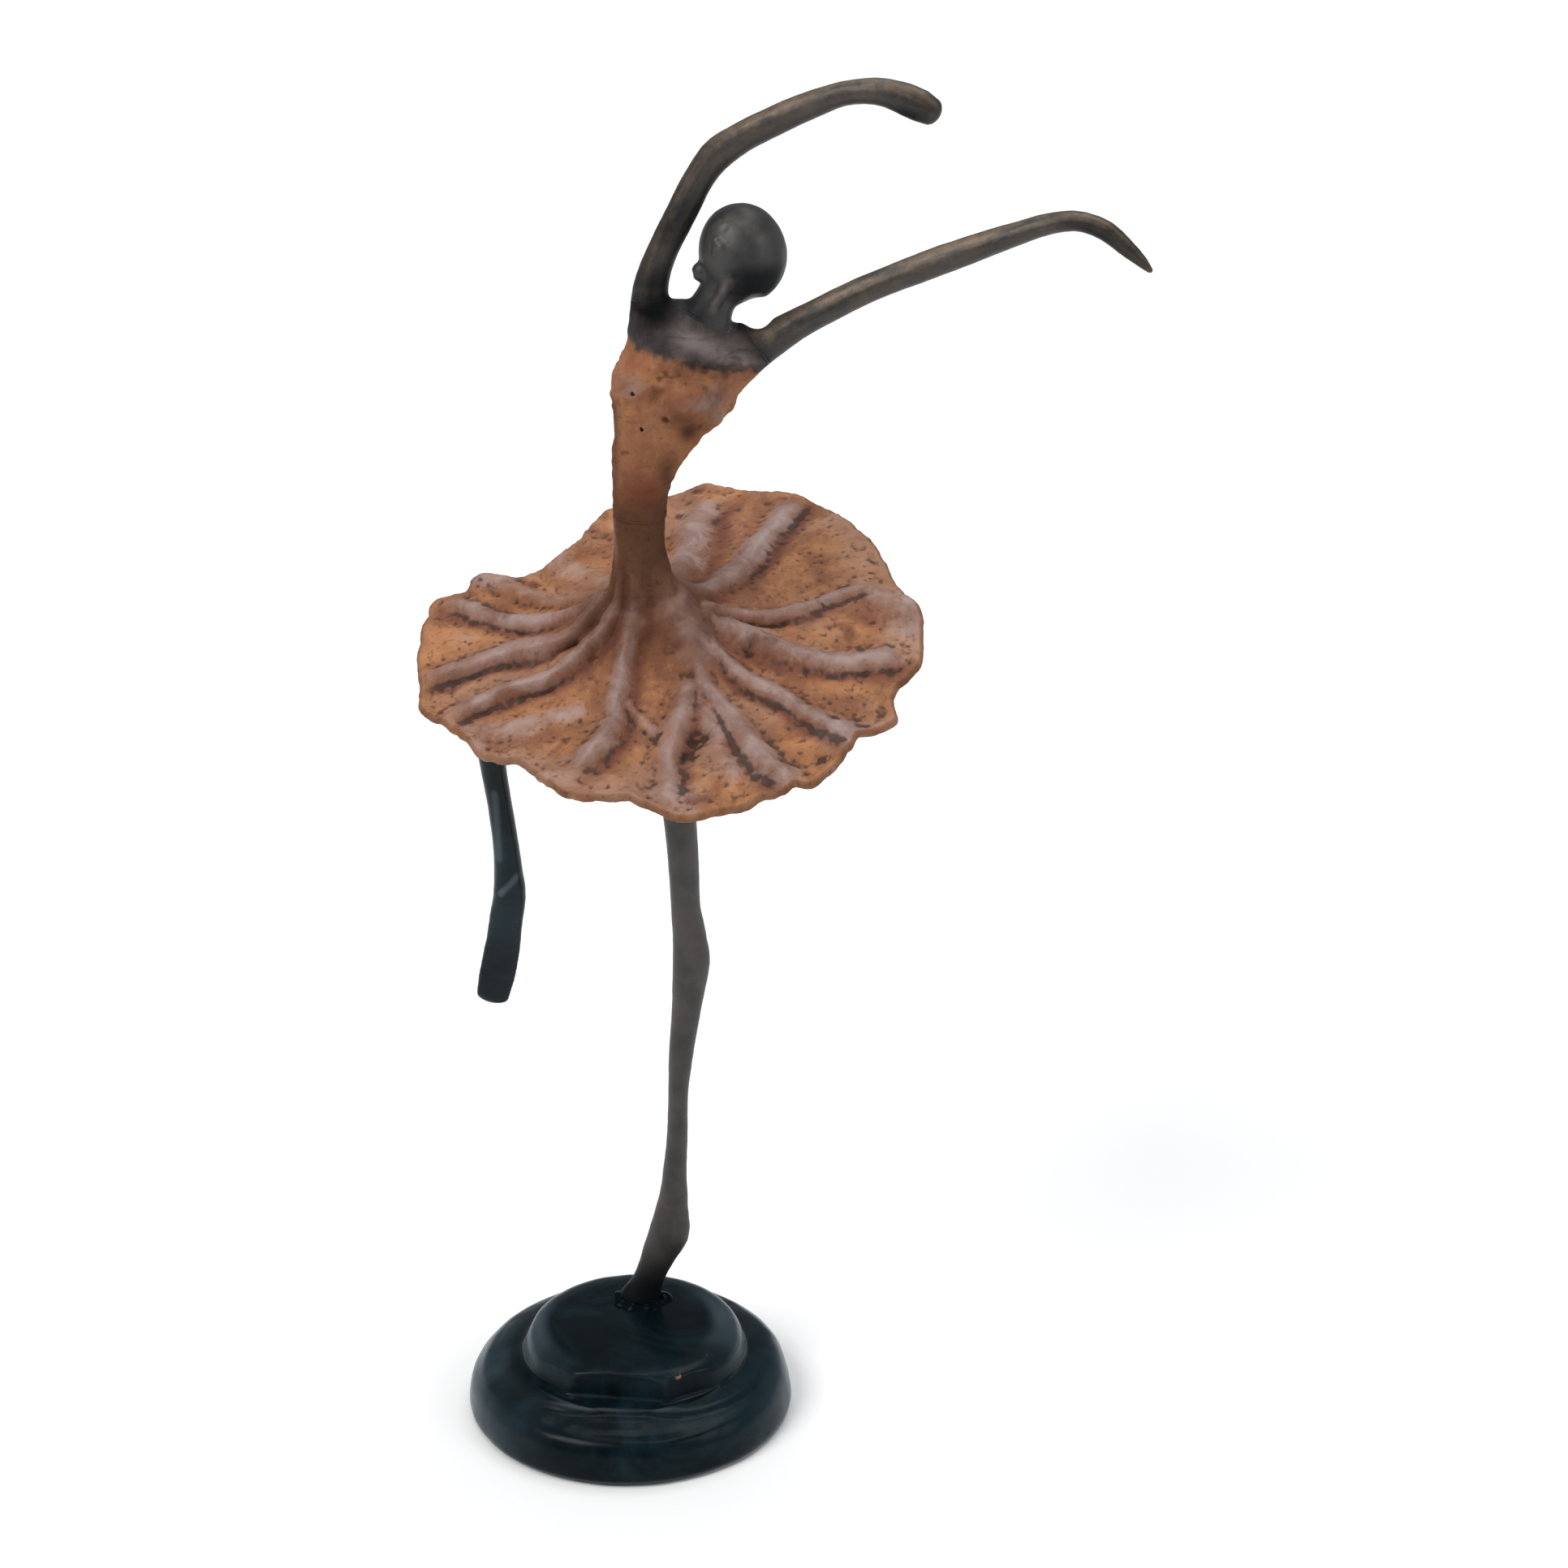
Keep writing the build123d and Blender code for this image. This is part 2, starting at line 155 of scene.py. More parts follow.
PELVIS = [
    (11.0, -0.6, 292.0, 18.0, 16.4),
    (11.6, 0.0, 274.0, 20.0, 18.0),
    (13.6, 0.6, 263.0, 18.0, 16.6),
    (15.2, 1.1, 249.0, 13.2, 12.6),
]
HIP_STUB = [
    (12.0, 1.2, 262.5, 14.0, 13.6),
    (6.0, 2.6, 262.2, 13.2, 12.8),
    (-4.0, 4.9, 262.0, 12.4, 12.0),
]

# Seams, as a point on the parent's end plane and the direction out of the parent
WAIST = ((7.8, -2.5, 321.0), (0.06, -0.03, 1.0))
PELVIS_TOP = ((9.5, -0.8, 286.1), (0.103, 0.280, -0.954))
STANDING_HIP = ((15.0, 1.1, 252.0), (0.12, 0.02, -1.0))
RAISED_HIP = ((0.0, 3.9, 262.0), (-1.0, 0.22, 0.0))
RAISED_SHOULDER = ((12.0, -2.0, 389.0), (0.0, 0.06, 1.0))
EXTENDED_SHOULDER = ((44.4, -1.5, 375.1), (0.87, 0.08, 0.49))
NECK_ROOT = ((28.9, -3.0, 384.5), (0.46, 0.0, 0.89))

SEAMS = [WAIST, PELVIS_TOP, STANDING_HIP, RAISED_HIP, RAISED_SHOULDER, EXTENDED_SHOULDER, NECK_ROOT]

# Head: an egg on a leaning axis. FACE is the way it looks, up and away over the far shoulder.
HEAD_CENTRE = (40.2, -1.0, 404.6)
HEAD_RADII = (13.2, 13.2, 14.9)
HEAD_UP = (-0.22, 0.10, 0.97)
FACE = (0.30, 0.93, 0.20)

# Modelled lumps and hollows on the upper body as (centre, radius, blend), and ridges with two ends
BREASTS = [((7.6, -8.3, 366.2), 5.9, 3.2), ((23.0, -10.3, 360.8), 6.4, 3.6)]
UPPER_LUMPS = [
    ((27.9, -3.4, 399.4), 3.1, 1.2), ((21.2, -2.0, 385.7), 4.0, 3.0), ((40.2, -2.5, 378.2), 4.0, 4.0),
    ((33.6, -11.2, 409.3), 1.4, 1.2), ((5.4, -10.6, 368.4), 2.6, 1.6), ((8.8, -12.4, 366.0), 2.0, 1.8),
    ((4.6, -9.4, 364.2), 1.9, 1.6), ((27.4, -13.2, 362.6), 1.8, 1.6), ((31.0, -9.8, 366.0), 2.8, 3.0),
    ((31.0, -9.4, 355.4), 2.2, 2.4), ((14.0, -12.2, 372.4), 1.8, 1.8),
]
UPPER_RIDGES = [
    ((36.8, -12.6, 400.2), (30.4, -8.4, 388.4), 1.5, 1.8), ((32.4, -10.2, 411.2), (32.0, -10.7, 407.0), 0.9, 0.9),
    ((20.6, -13.0, 359.4), (28.6, -13.0, 360.8), 1.5, 1.6), ((17.0, -8.0, 381.6), (35.0, -7.2, 374.2), 1.8, 2.4),
    ((14.0, -9.8, 377.0), (31.0, -9.6, 370.4), 1.5, 2.0), ((9.0, -10.6, 373.2), (17.0, -11.4, 368.4), 1.3, 1.6),
]
UPPER_HOLLOWS = [
    ((14.6, -13.6, 363.4), 3.0, 2.2), ((25.8, -15.6, 352.0), 3.0, 2.2), ((34.5, -10.0, 415.2), 1.2, 0.8),
    ((37.2, -15.3, 403.7), 1.1, 0.9), ((40.4, -15.7, 403.9), 0.9, 0.9), ((7.0, -13.2, 364.6), 0.9, 0.7),
    ((14.6, -10.6, 386.0), 3.4, 2.6), ((22.4, -14.0, 371.4), 2.0, 1.6), ((30.0, -12.6, 371.2), 1.8, 1.6),
    ((16.8, -12.4, 355.8), 0.8, 0.8), ((20.4, -11.6, 347.0), 0.9, 0.8), ((9.6, -10.6, 352.0), 0.8, 0.8),
]

SHOULDER_NOTCH = ((44.4, -14.0, 391.3), (44.4, 10.0, 380.7), 4.3, 1.6)

# Skirt: a shallow trumpet about the waist, in a plane that tips forwards
SKIRT_FOOT = (10.5, 2.0, 276.6)
SKIRT_NORMAL = (-0.103, -0.280, 0.954)
COLUMN = [
    (7.8, -2.5, 321.0, 8.1, 6.5),
    (7.9, -2.4, 312.0, 7.7, 6.5),
    (8.4, -2.0, 303.0, 7.9, 6.9),
    (9.0, -1.4, 296.5, 9.2, 8.6),
]
COLUMN_JOINS_AT = 12.0
TRUMPET_LEAN = 0.62
SKIRT_PROFILE = [(9, 22), (12, 17.6), (18, 12.6), (28, 8), (42, 4), (60, 1.6), (75, 0.4), (98, -0.6)]
SKIRT_THICKNESS = 3.6
RIM_THICKNESS = 3.2
HUB_RADIUS, HUB_SEAT = 10.0, 10.0
# Rim as (degrees, radius). A scratch program fitted most of these to the photo's outline: they are not
# dimensions that anyone chose, and a plainer outline would do for reuse.
SKIRT_RIM = [
    (0, 86), (7, 82.1), (15, 80.2), (22, 81.8), (30, 83.2), (38, 83.3), (48, 85.5), (55, 86.4), (64, 83.7),
    (72, 86.5), (78, 88.8), (84, 81), (92, 78), (102, 72.5), (112, 60.4), (121, 56.4), (131, 55.1), (139, 58.9),
    (143, 68.6), (151, 69.1), (155.5, 76.7), (161, 76.2), (169, 75), (177, 74.6), (188, 73.5), (197, 75),
    (205, 71.1), (214, 69.2), (225, 69.5), (234, 66.7), (244, 71.9), (252, 76.5), (260, 75.8), (268, 77.4),
    (275, 84), (281, 85.5), (288, 87.9), (294, 86), (299, 87.3), (304, 90.1), (308, 88.7), (313, 86.1),
    (319, 83.8), (324, 85.3), (328, 88.5), (333, 84), (339, 83.9), (345, 87.2), (352, 86.5),
]
# Pleat ribs as (height, half-width, undercut, path across the skirt's own plane from the waist out). The
# paths were picked on the photo and converted by a scratch program.
SKIRT_RIBS = [
    (1.6, 3.6, 0.0, [(0, 8), (-2, 22), (-6, 38), (-10, 54)]),
    (1.4, 4.0, 0.0, [(-5, 7), (-11, 19), (-18, 31), (-26, 41), (-32, 50)]),
    (1.7, 3.0, 0.5, [(-8, 6), (-17, 14), (-27, 19), (-37, 26), (-48, 37), (-57, 47)]),
    (2.6, 3.0, 0.6, [(-8, 4), (-16, 6), (-25, 7), (-36, 10), (-48, 17), (-60, 26), (-68, 32)]),
    (3.8, 3.7, 1.0, [(-8, 2), (-14, -1), (-22, -3), (-31, -4), (-46, -2), (-61, -5), (-77, -10)]),
    (3.6, 3.4, 1.0, [(-7, -5), (-11, -10), (-18, -13), (-28, -19), (-42, -20), (-54, -24), (-68, -31)]),
    (1.5, 4.4, 0.2, [(-18, -34), (-32, -36), (-48, -36), (-62, -36)]),
    (3.3, 3.2, 0.2, [(-1, -7), (-4, -14), (-7, -22), (-10, -34), (-12, -45), (-18, -55), (-27, -67)]),
    (1.6, 1.9, 0.8, [(-8, -33), (-4, -40), (1, -47), (6, -54)]),
    (2.6, 3.3, 0.3, [(14, -26), (11, -37), (8, -47), (6, -57), (5, -68), (4, -80)]),
    (1.8, 3.3, 0.4, [(15, -26), (18, -41), (21, -56), (27, -74)]),
    (3.2, 3.4, 0.5, [(13, -14), (18, -31), (25, -44), (32, -57), (38, -68), (48, -76)]),
    (3.0, 3.4, 0.5, [(18, -11), (29, -26), (41, -35), (53, -47), (67, -55)]),
    (2.8, 4.4, 0.8, [(18, -3), (34, -11), (47, -17), (60, -20), (72, -20), (81, -17)]),
    (2.6, 3.1, 0.9, [(14, 0), (28, 0), (38, 1), (50, 6), (62, 12), (74, 18)]),
    (1.8, 5.0, 0.0, [(66, 16), (74, 9), (81, 1), (85, -12)]),
    (3.2, 4.4, 0.6, [(8, 5), (18, 10), (28, 25), (36, 43), (44, 58), (49, 72)]),
    (3.0, 4.9, 0.0, [(6, 7), (10, 20), (13, 39), (15, 58), (20, 80)]),
    (4.2, 6.4, 0.0, [(8, 3), (10, -4), (13, -10), (15, -18), (15, -29)]),
    (2.4, 3.6, 0.0, [(9, -3), (19, -1), (28, 2)]),
]
UNDERCUT_SIDE = (0.30, -0.95)
# Pits through the crust and lumps on it as (x, y, reach, amount)
SKIRT_PITS = [
    (15, -50, 4.0, 2.4), (12, -57, 3.0, 1.8), (2, -49, 1.8, 1.2), (56, 8, 2.2, 2.0), (31, -15, 2.6, 2.0),
    (56, -46, 2.0, 1.0), (52, -65, 2.4, 1.2), (8, -18, 2.8, 1.0),
]
SKIRT_KNOBS = [
    (35, -12, 2.3, 2.6), (38, -14, 1.7, 1.8), (20, -2, 3.0, 1.2), (-22, -52, 3.0, 0.9), (-25, -41, 3.2, 1.0),
]
SKIRT_COLUMNS = 560
COLUMN_ROWS, SHEET_ROWS, UNDER_ROWS = 29, 104, 25

# Base, from the frame's own box
base_low, base_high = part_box("base_casting")
BASE_RADIUS = (base_high[0] - base_low[0]) / 2 / MM
BASE_TOP = base_high[2] / MM
FOOT = (3.6, 14.4)
UPPER_TIER_SHIFT = 1.8
BASE_FLATS = [(-98, 31.6, 0.04), (-60, 34.6, 0.10), (-133, 34.4, 0.20), (-20, 37.2, 0.30), (168, 34.6, 0.35)]
BASE_NICKS = [(18.8, -29.6, 29.4, 1.7), (17.6, -30.8, 28.2, 1.5), (26.6, -19.6, 30.2, 1.2)]
# Raised lip along the front of the shelf as (degrees, radius)
SHELF_LIP = [
    (0, 47), (90, 47), (180, 46.5), (215, 45), (240, 42), (255, 39), (268, 37.8), (286, 40), (300, 43.5), (320, 46),
]


# ------------------------------------------------------------------ numbers

def unit(v):
    v = np.asarray(v, float)
    return v / np.linalg.norm(v, axis=-1, keepdims=True)


def smoothstep(low, high, x):
    t = np.clip((x - low) / (high - low), 0, 1)
    return t * t * (3 - 2 * t)


def curve(knots, values, at):
    """Smooth curve through the values at increasing knots, read at the given places."""
    t = np.asarray(knots, float)
    p = np.asarray(values, float).reshape(len(t), -1)
    step = np.diff(t)[:, None]
    slope = np.diff(p, axis=0) / step
    between = (slope[:-1] * step[1:] + slope[1:] * step[:-1]) / (step[:-1] + step[1:])
    bend = np.vstack([slope[:1], between, slope[-1:]])
    at = np.asarray(at, float)
    i = np.clip(np.searchsorted(t, at.ravel(), side="right") - 1, 0, len(t) - 2)
    h = step[i]
    u = (at.ravel()[:, None] - t[i][:, None]) / h
    found = (
        p[i] * (1 + 2 * u) * (1 - u) ** 2 + p[i + 1] * (3 - 2 * u) * u ** 2
        + bend[i] * h * u * (1 - u) ** 2 - bend[i + 1] * h * (1 - u) * u ** 2
    )
    return found.reshape(at.shape + (-1,)) if p.shape[1] > 1 else found.reshape(at.shape)


def ring_curve(points, degrees):
    """Closed smooth curve through (degrees, value) points, read at any angles."""
    angles = [a for a, _ in points]
    values = [v for _, v in points]
    wrapped = [a - 360 for a in angles] + angles + [a + 360 for a in angles]
    return curve(wrapped, values * 3, np.mod(degrees, 360))


def lattice(ix, iy, iz, seed):
    """Repeatable random values from -1 to 1 at whole-number lattice points."""
    h = (ix * 374761393 + iy * 668265263 + iz * 2147483647 + seed * 1442695041) & 0xFFFFFFFF
    h = ((h ^ (h >> 13)) * 1274126177) & 0xFFFFFFFF
    h = ((h ^ (h >> 16)) * 2246822519) & 0xFFFFFFFF
    return ((h ^ (h >> 15)) & 0xFFFF).astype(np.float32) / 32767.5 - 1


def noise(X, Y, Z, cell, seed):
    """Smooth lattice noise at points, with features about one cell across."""
    cells, parts = [], []
    for c in (X, Y, Z):
        c = np.asarray(c) / cell + 1000.5
        whole = np.floor(c).astype(np.int64)
        cells.append(whole)
        parts.append(smoothstep(0, 1, c - whole))
    total = 0
    for dx in (0, 1):
        wx = parts[0] if dx else 1 - parts[0]
        for dy in (0, 1):
            wy = parts[1] if dy else 1 - parts[1]
            for dz in (0, 1):
                wz = parts[2] if dz else 1 - parts[2]
                total = total + wx * wy * wz * lattice(cells[0] + dx, cells[1] + dy, cells[2] + dz, seed)
    return total


def flat_noise(x, y, cell, seed):
    """Noise across a plane."""
    return noise(x, y, 0 * x, cell, seed)


def ring_noise(reach, angle, cell, seed):
    """Noise round a circle, which closes on itself."""
    return flat_noise(reach * np.cos(angle), reach * np.sin(angle), cell, seed)


def merge(a, b, k):
    """Union of two fields with a fillet about k wide."""
    h = np.clip(0.5 + 0.5 * (b - a) / k, 0, 1)
    return b + (a - b) * h - k * h * (1 - h)


def carve(a, b, k):
    """Field a with b taken out of it, softened over k."""
    return -merge(-a, b, k)


# ------------------------------------------------------------------ distance fields

class Limb:
    """Bar through stations. A power under 2 gives its sections ridges, and over 2 squares them."""

    def __init__(self, stations, power=2.0):
        table = np.array(stations, float)
        gaps = np.linalg.norm(np.diff(table[:, :3], axis=0), axis=1)
        knots = np.concatenate([[0], np.cumsum(gaps)])
        self.run = np.linspace(0, knots[-1], int(knots[-1] / PATH_STEP) + 2)
        path = curve(knots, table, self.run)
        self.points = path[:, :3]
        self.half = path[:, 3:] / 2
        self.tangent = unit(np.gradient(self.points, axis=0))
        self.across = unit(np.cross((0, 1, 0), self.tangent))
        self.deep = np.cross(self.tangent, self.across)
        self.power = power

    def near(self, X, Y, Z):
        """Distance outside the skin, the place along the bar, and the place round it."""
        best = None
        low = np.array([X.min(), Y.min(), Z.min()]) - FAR
        high = np.array([X.max(), Y.max(), Z.max()]) + FAR
        for i, (p, q) in enumerate(zip(self.points, self.points[1:])):
            if (np.maximum(p, q) < low).any() or (np.minimum(p, q) > high).any():
                continue
            d = (q - p).astype(np.float32)
            x, y, z = X - np.float32(p[0]), Y - np.float32(p[1]), Z - np.float32(p[2])
            along = x * d[0] + y * d[1] + z * d[2]
            length2 = d @ d
            t = np.clip(along / length2, 0, 1)
            gap2 = x * x + y * y + z * z + t * (t * length2 - 2 * along)
            if best is None:
                best, place = gap2, t + np.float32(i)
                continue
            place = np.where(gap2 < best, t + np.float32(i), place)
            best = np.minimum(gap2, best)
        if best is None:
            nothing = np.zeros(np.broadcast_shapes(X.shape, Y.shape, Z.shape), np.float32)
            return nothing + FAR, nothing, nothing
        index = np.arange(len(self.points))

        def at(rows):
            return [np.interp(place, index, rows[:, c]).astype(np.float32) for c in range(rows.shape[1])]

        cx, cy, cz = at(self.points)
        ox, oy, oz = X - cx, Y - cy, Z - cz
        a, b, e = (ox * vx + oy * vy + oz * vz for vx, vy, vz in map(at, (self.across, self.deep, self.tangent)))
        half_width, half_depth = at(self.half)
        size = np.minimum(half_width, half_depth)
        ratio = (np.abs(a / half_width) ** self.power + np.abs(b / half_depth) ** self.power) ** (1 / self.power)
        distance = (np.sqrt(ratio ** 2 + (e / size) ** 2) - 1) * size
        return distance, np.interp(place, index, self.run), np.arctan2(b, a)


def ball(X, Y, Z, centre, radius):
    x, y, z = centre
    return np.sqrt((X - x) ** 2 + (Y - y) ** 2 + (Z - z) ** 2) - radius


def rod(X, Y, Z, start, end, radius):
    start, end = np.array(start), np.array(end)
    d = end - start
    x, y, z = X - start[0], Y - start[1], Z - start[2]
    t = np.clip((x * d[0] + y * d[1] + z * d[2]) / (d @ d), 0, 1)
    return np.sqrt((x - t * d[0]) ** 2 + (y - t * d[1]) ** 2 + (z - t * d[2]) ** 2) - radius


def egg(X, Y, Z, centre, radii, up):
    """Ellipsoid whose third axis points up."""
    up = unit(up)
    side = unit(np.cross((0, 1, 0), up))
    back = np.cross(up, side)
    x, y, z = X - centre[0], Y - centre[1], Z - centre[2]
    parts = [(x * v[0] + y * v[1] + z * v[2]) / r for v, r in zip((side, back, up), radii)]
    return (np.sqrt(sum(p * p for p in parts)) - 1) * min(radii)


def past(X, Y, Z, seam):
    """Distance past a seam's plane."""
    (x, y, z), direction = seam
    n = unit(direction)
    return (X - x) * n[0] + (Y - y) * n[1] + (Z - z) * n[2]


raised_arm_bar = Limb(RAISED_ARM, 1.8)
extended_arm_bar = Limb(EXTENDED_ARM, 1.65)
torso_bar = Limb(TORSO, 2.1)
neck_bar = Limb(NECK, 1.9)
standing_leg_bar = Limb(STANDING_LEG, 1.9)
raised_leg_bar = Limb(RAISED_LEG, 1.85)
pelvis_bar = Limb(PELVIS)
stub_bar = Limb(HIP_STUB)


def face_relief(X, Y, Z):
    """A plain calm mask, a fraction of a millimetre to a millimetre deep, on the side the head looks to."""
    look = unit(FACE)
    up = unit(np.array(HEAD_UP) - look * np.dot(HEAD_UP, look))
    side = np.cross(up, look)
    x, y, z = X - HEAD_CENTRE[0], Y - HEAD_CENTRE[1], Z - HEAD_CENTRE[2]
    u, v, w = (x * d[0] + y * d[1] + z * d[2] for d in (side, up, look))
    front = smoothstep(3, 8, w)
    mark = 1.5 * np.exp(-(u / 1.5) ** 2 - ((v + 1.2) / 3.2) ** 2)
    mark = mark + 0.7 * np.exp(-(u / 5.5) ** 2 - ((v - 3.0) / 1.2) ** 2)
    mark = mark + 0.7 * np.exp(-(u / 2.4) ** 2 - ((v + 7.0) / 1.0) ** 2)
    for centre in (-4.2, 4.2):
        mark = mark - 0.8 * np.exp(-((u - centre) / 2.2) ** 2 - ((v - 0.8) / 1.3) ** 2)
    return mark * front


def head_field(X, Y, Z):
    return egg(X, Y, Z, HEAD_CENTRE, HEAD_RADII, HEAD_UP) - face_relief(X, Y, Z)


def upper_body(X, Y, Z):
    """Skin of the torso, neck, head and arms, and each part's own distance."""
    raised, extended = raised_arm_bar.near(X, Y, Z)[0], extended_arm_bar.near(X, Y, Z)[0]
    torso, neck = torso_bar.near(X, Y, Z)[0], neck_bar.near(X, Y, Z)[0]
    head = head_field(X, Y, Z)
    skin = merge(merge(torso, raised, 6.0), extended, 7.0)
    skin = merge(skin, neck, 7.0)
    skin = merge(skin, head, 2.6)
    for centre, radius, blend in BREASTS + UPPER_LUMPS:
        skin = merge(skin, ball(X, Y, Z, centre, radius), blend)
    for start, end, radius, blend in UPPER_RIDGES:
        skin = merge(skin, rod(X, Y, Z, start, end, radius), blend)
    for centre, radius, blend in UPPER_HOLLOWS:
        skin = carve(skin, ball(X, Y, Z, centre, radius), blend)
    start, end, radius, blend = SHOULDER_NOTCH
    skin = carve(skin, rod(X, Y, Z, start, end, radius), blend)
    crust = smoothstep(382, 372, Z) * smoothstep(42, 34, X) * (0.45 + 0.55 * smoothstep(346, 360, Z))
    skin = skin - crust * (0.55 * noise(X, Y, Z, 5.0, 1) + 0.42 * noise(X, Y, Z, 2.1, 2))
    rough = smoothstep(0, 5, past(X, Y, Z, WAIST))
    skin = skin - rough * (0.16 * noise(X, Y, Z, 7.0, 3) + 0.05 * noise(X, Y, Z, 2.2, 4))
    return skin, {"raised": raised, "extended": extended, "neck": np.minimum(neck, head)}


def lower_body(X, Y, Z):
    """Skin of the hips and legs, and each leg's own distance."""
    standing, raised = standing_leg_bar.near(X, Y, Z)[0], raised_leg_bar.near(X, Y, Z)[0]
    hips = merge(pelvis_bar.near(X, Y, Z)[0], stub_bar.near(X, Y, Z)[0], 5.0)
    skin = merge(merge(hips, standing, 4.0), raised, 4.0)
    skin = skin - 0.14 * noise(X, Y, Z, 8.0, 5) - 0.05 * noise(X, Y, Z, 2.4, 6)
    return skin, {"standing": standing, "raised": raised}


# ------------------------------------------------------------------ meshes

def surface(field, origin, step):
    """Closed quad mesh where a field on a regular grid crosses zero."""
    inside = field < 0
    corners = sum(
        inside[i:inside.shape[0] - 1 + i, j:inside.shape[1] - 1 + j, k:inside.shape[2] - 1 + k].astype(np.uint8)
        for i in (0, 1) for j in (0, 1) for k in (0, 1)
    )
    active = (corners > 0) & (corners < 8)
    number = np.full(active.shape, -1, np.int32)
    number[active] = np.arange(active.sum())
    cells = np.argwhere(active)
    total, count = np.zeros((len(cells), 3)), np.zeros(len(cells))
    faces = []
    steps = np.eye(3, dtype=int)
    for axis in range(3):
        u, v = (axis + 1) % 3, (axis + 2) % 3
        ahead = steps[axis]
        for du in (0, 1):
            for dv in (0, 1):
                a = cells + du * steps[u] + dv * steps[v]
                fa, fb = field[tuple(a.T)], field[tuple((a + ahead).T)]
                crossed = (fa < 0) != (fb < 0)
                place = a[crossed] + (fa[crossed] / (fa[crossed] - fb[crossed]))[:, None] * ahead
                total[crossed] += place
                count[crossed] += 1
        first = np.take(inside, range(inside.shape[axis] - 1), axis)
        second = np.take(inside, range(1, inside.shape[axis]), axis)
        edge = np.argwhere(first != second)
        eu, ev = steps[u], steps[v]
        for side in (u, v):
            edge = edge[(edge[:, side] > 0) & (edge[:, side] < inside.shape[side] - 1)]
        quad = np.stack([number[tuple(c.T)] for c in (edge, edge - eu, edge - eu - ev, edge - ev)], axis=1)
        outward = inside[tuple(edge.T)]
        faces.append(np.where(outward[:, None], quad, quad[:, ::-1]))
    return origin + step * total / count[:, None], np.vstack(faces)


def neighbours_mean(points, quads):
    """Average of each vertex's neighbours along the quads' edges."""
    a = quads.ravel()
    b = np.roll(quads, -1, axis=1).ravel()
    count = np.bincount(a, minlength=len(points)) + np.bincount(b, minlength=len(points))
    sums = [
        np.bincount(a, points[b, c], len(points)) + np.bincount(b, points[a, c], len(points)) for c in range(3)
    ]
    return np.stack(sums, axis=1) / np.maximum(count, 1)[:, None]


def vertex_normals(points, quads):
    a, b, c, d = (points[quads[:, i]] for i in range(4))
    normal = np.cross(c - a, d - b)
    total = np.zeros_like(points)
    for i in range(4):
        for axis in range(3):
            total[:, axis] += np.bincount(quads[:, i], normal[:, axis], len(points))
    return total / np.maximum(np.linalg.norm(total, axis=1, keepdims=True), 1e-9)


def relief(points, quads, rounds):
    """Height of each vertex above its smoothed surroundings: ridges are positive and hollows negative."""
    smooth = points
    for _ in range(rounds):
        smooth = 0.5 * smooth + 0.5 * neighbours_mean(smooth, quads)
    return ((points - smooth) * vertex_normals(points, quads)).sum(axis=1)


def away_from_seams(points):
    """0 at a seam's cut and 1 clear of it, so that a cut's edge isn't taken for a worn ridge."""
    x, y, z = points.T
    clear = np.ones(len(points))
    for seam in SEAMS:
        beyond = np.abs(past(x, y, z, seam) - GROOVE / 2)
        outside = smoothstep(12.0, 15.0, ball(x, y, z, seam[0], 0.0))
        clear = np.minimum(clear, np.maximum(smoothstep(1.2, 3.4, beyond), outside))
    return clear


def write_mesh(name, points, quads, node, material, values=None):
    """Blender object for one piece, with its named values stored on the vertices."""
    mesh = bpy.data.meshes.new(name)
    mesh.vertices.add(len(points))
    mesh.vertices.foreach_set("co", (points * MM).astype(np.float32).ravel())
    triangle = quads[:, 2] == quads[:, 3]
    sizes = np.where(triangle, 3, 4)
    corners = quads.ravel()[np.stack([np.ones_like(triangle)] * 3 + [~triangle], axis=1).ravel()]
    mesh.loops.add(len(corners))
    mesh.loops.foreach_set("vertex_index", corners.astype(np.int32))
    mesh.polygons.add(len(sizes))
    mesh.polygons.foreach_set("loop_start", (np.cumsum(sizes) - sizes).astype(np.int32))
    mesh.update(calc_edges=True)
    mesh.validate()
    mesh.polygons.foreach_set("use_smooth", np.ones(len(mesh.polygons), bool))
    for key, data in (values or {}).items():
        kind = "FLOAT" if data.ndim == 1 else "FLOAT_VECTOR"
        attribute = mesh.attributes.new(key, kind, "POINT")
        attribute.data.foreach_set("value" if data.ndim == 1 else "vector", data.astype(np.float32).ravel())
    mesh.materials.append(material)
    piece = bpy.data.objects.new(name, mesh)
    bpy.context.scene.collection.objects.link(piece)
    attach(piece, "root")
    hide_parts(node)


def sculpt(name, node, material, step, margin, shape, bar=None, smoothing=2, masks=None):
    """Mesh of a field over a CAD node's box. The flow value runs along the bar and round it."""
    low, high = (np.array(c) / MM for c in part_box(node))
    low, high = low - margin, high + margin
    axes = [np.arange(a, b, step, dtype=np.float32) for a, b in zip(low, high)]
    X, Y, Z = axes[0][:, None, None], axes[1][None, :, None], axes[2][None, None, :]
    points, quads = surface(shape(X, Y, Z), low, step)
    for _ in range(smoothing):
        points = 0.5 * points + 0.5 * neighbours_mean(points, quads)
    values = {"relief": relief(points, quads, 10) * away_from_seams(points)}
    x, y, z = points.T.astype(np.float32)
    if masks:
        values.update(masks(x, y, z))
    if bar:
        _, along, around = bar.near(x, y, z)
        values["flow"] = np.stack([along, 3.5 * np.cos(around), 3.5 * np.sin(around)], axis=1)
    write_mesh(name, points, quads, node, material, values)


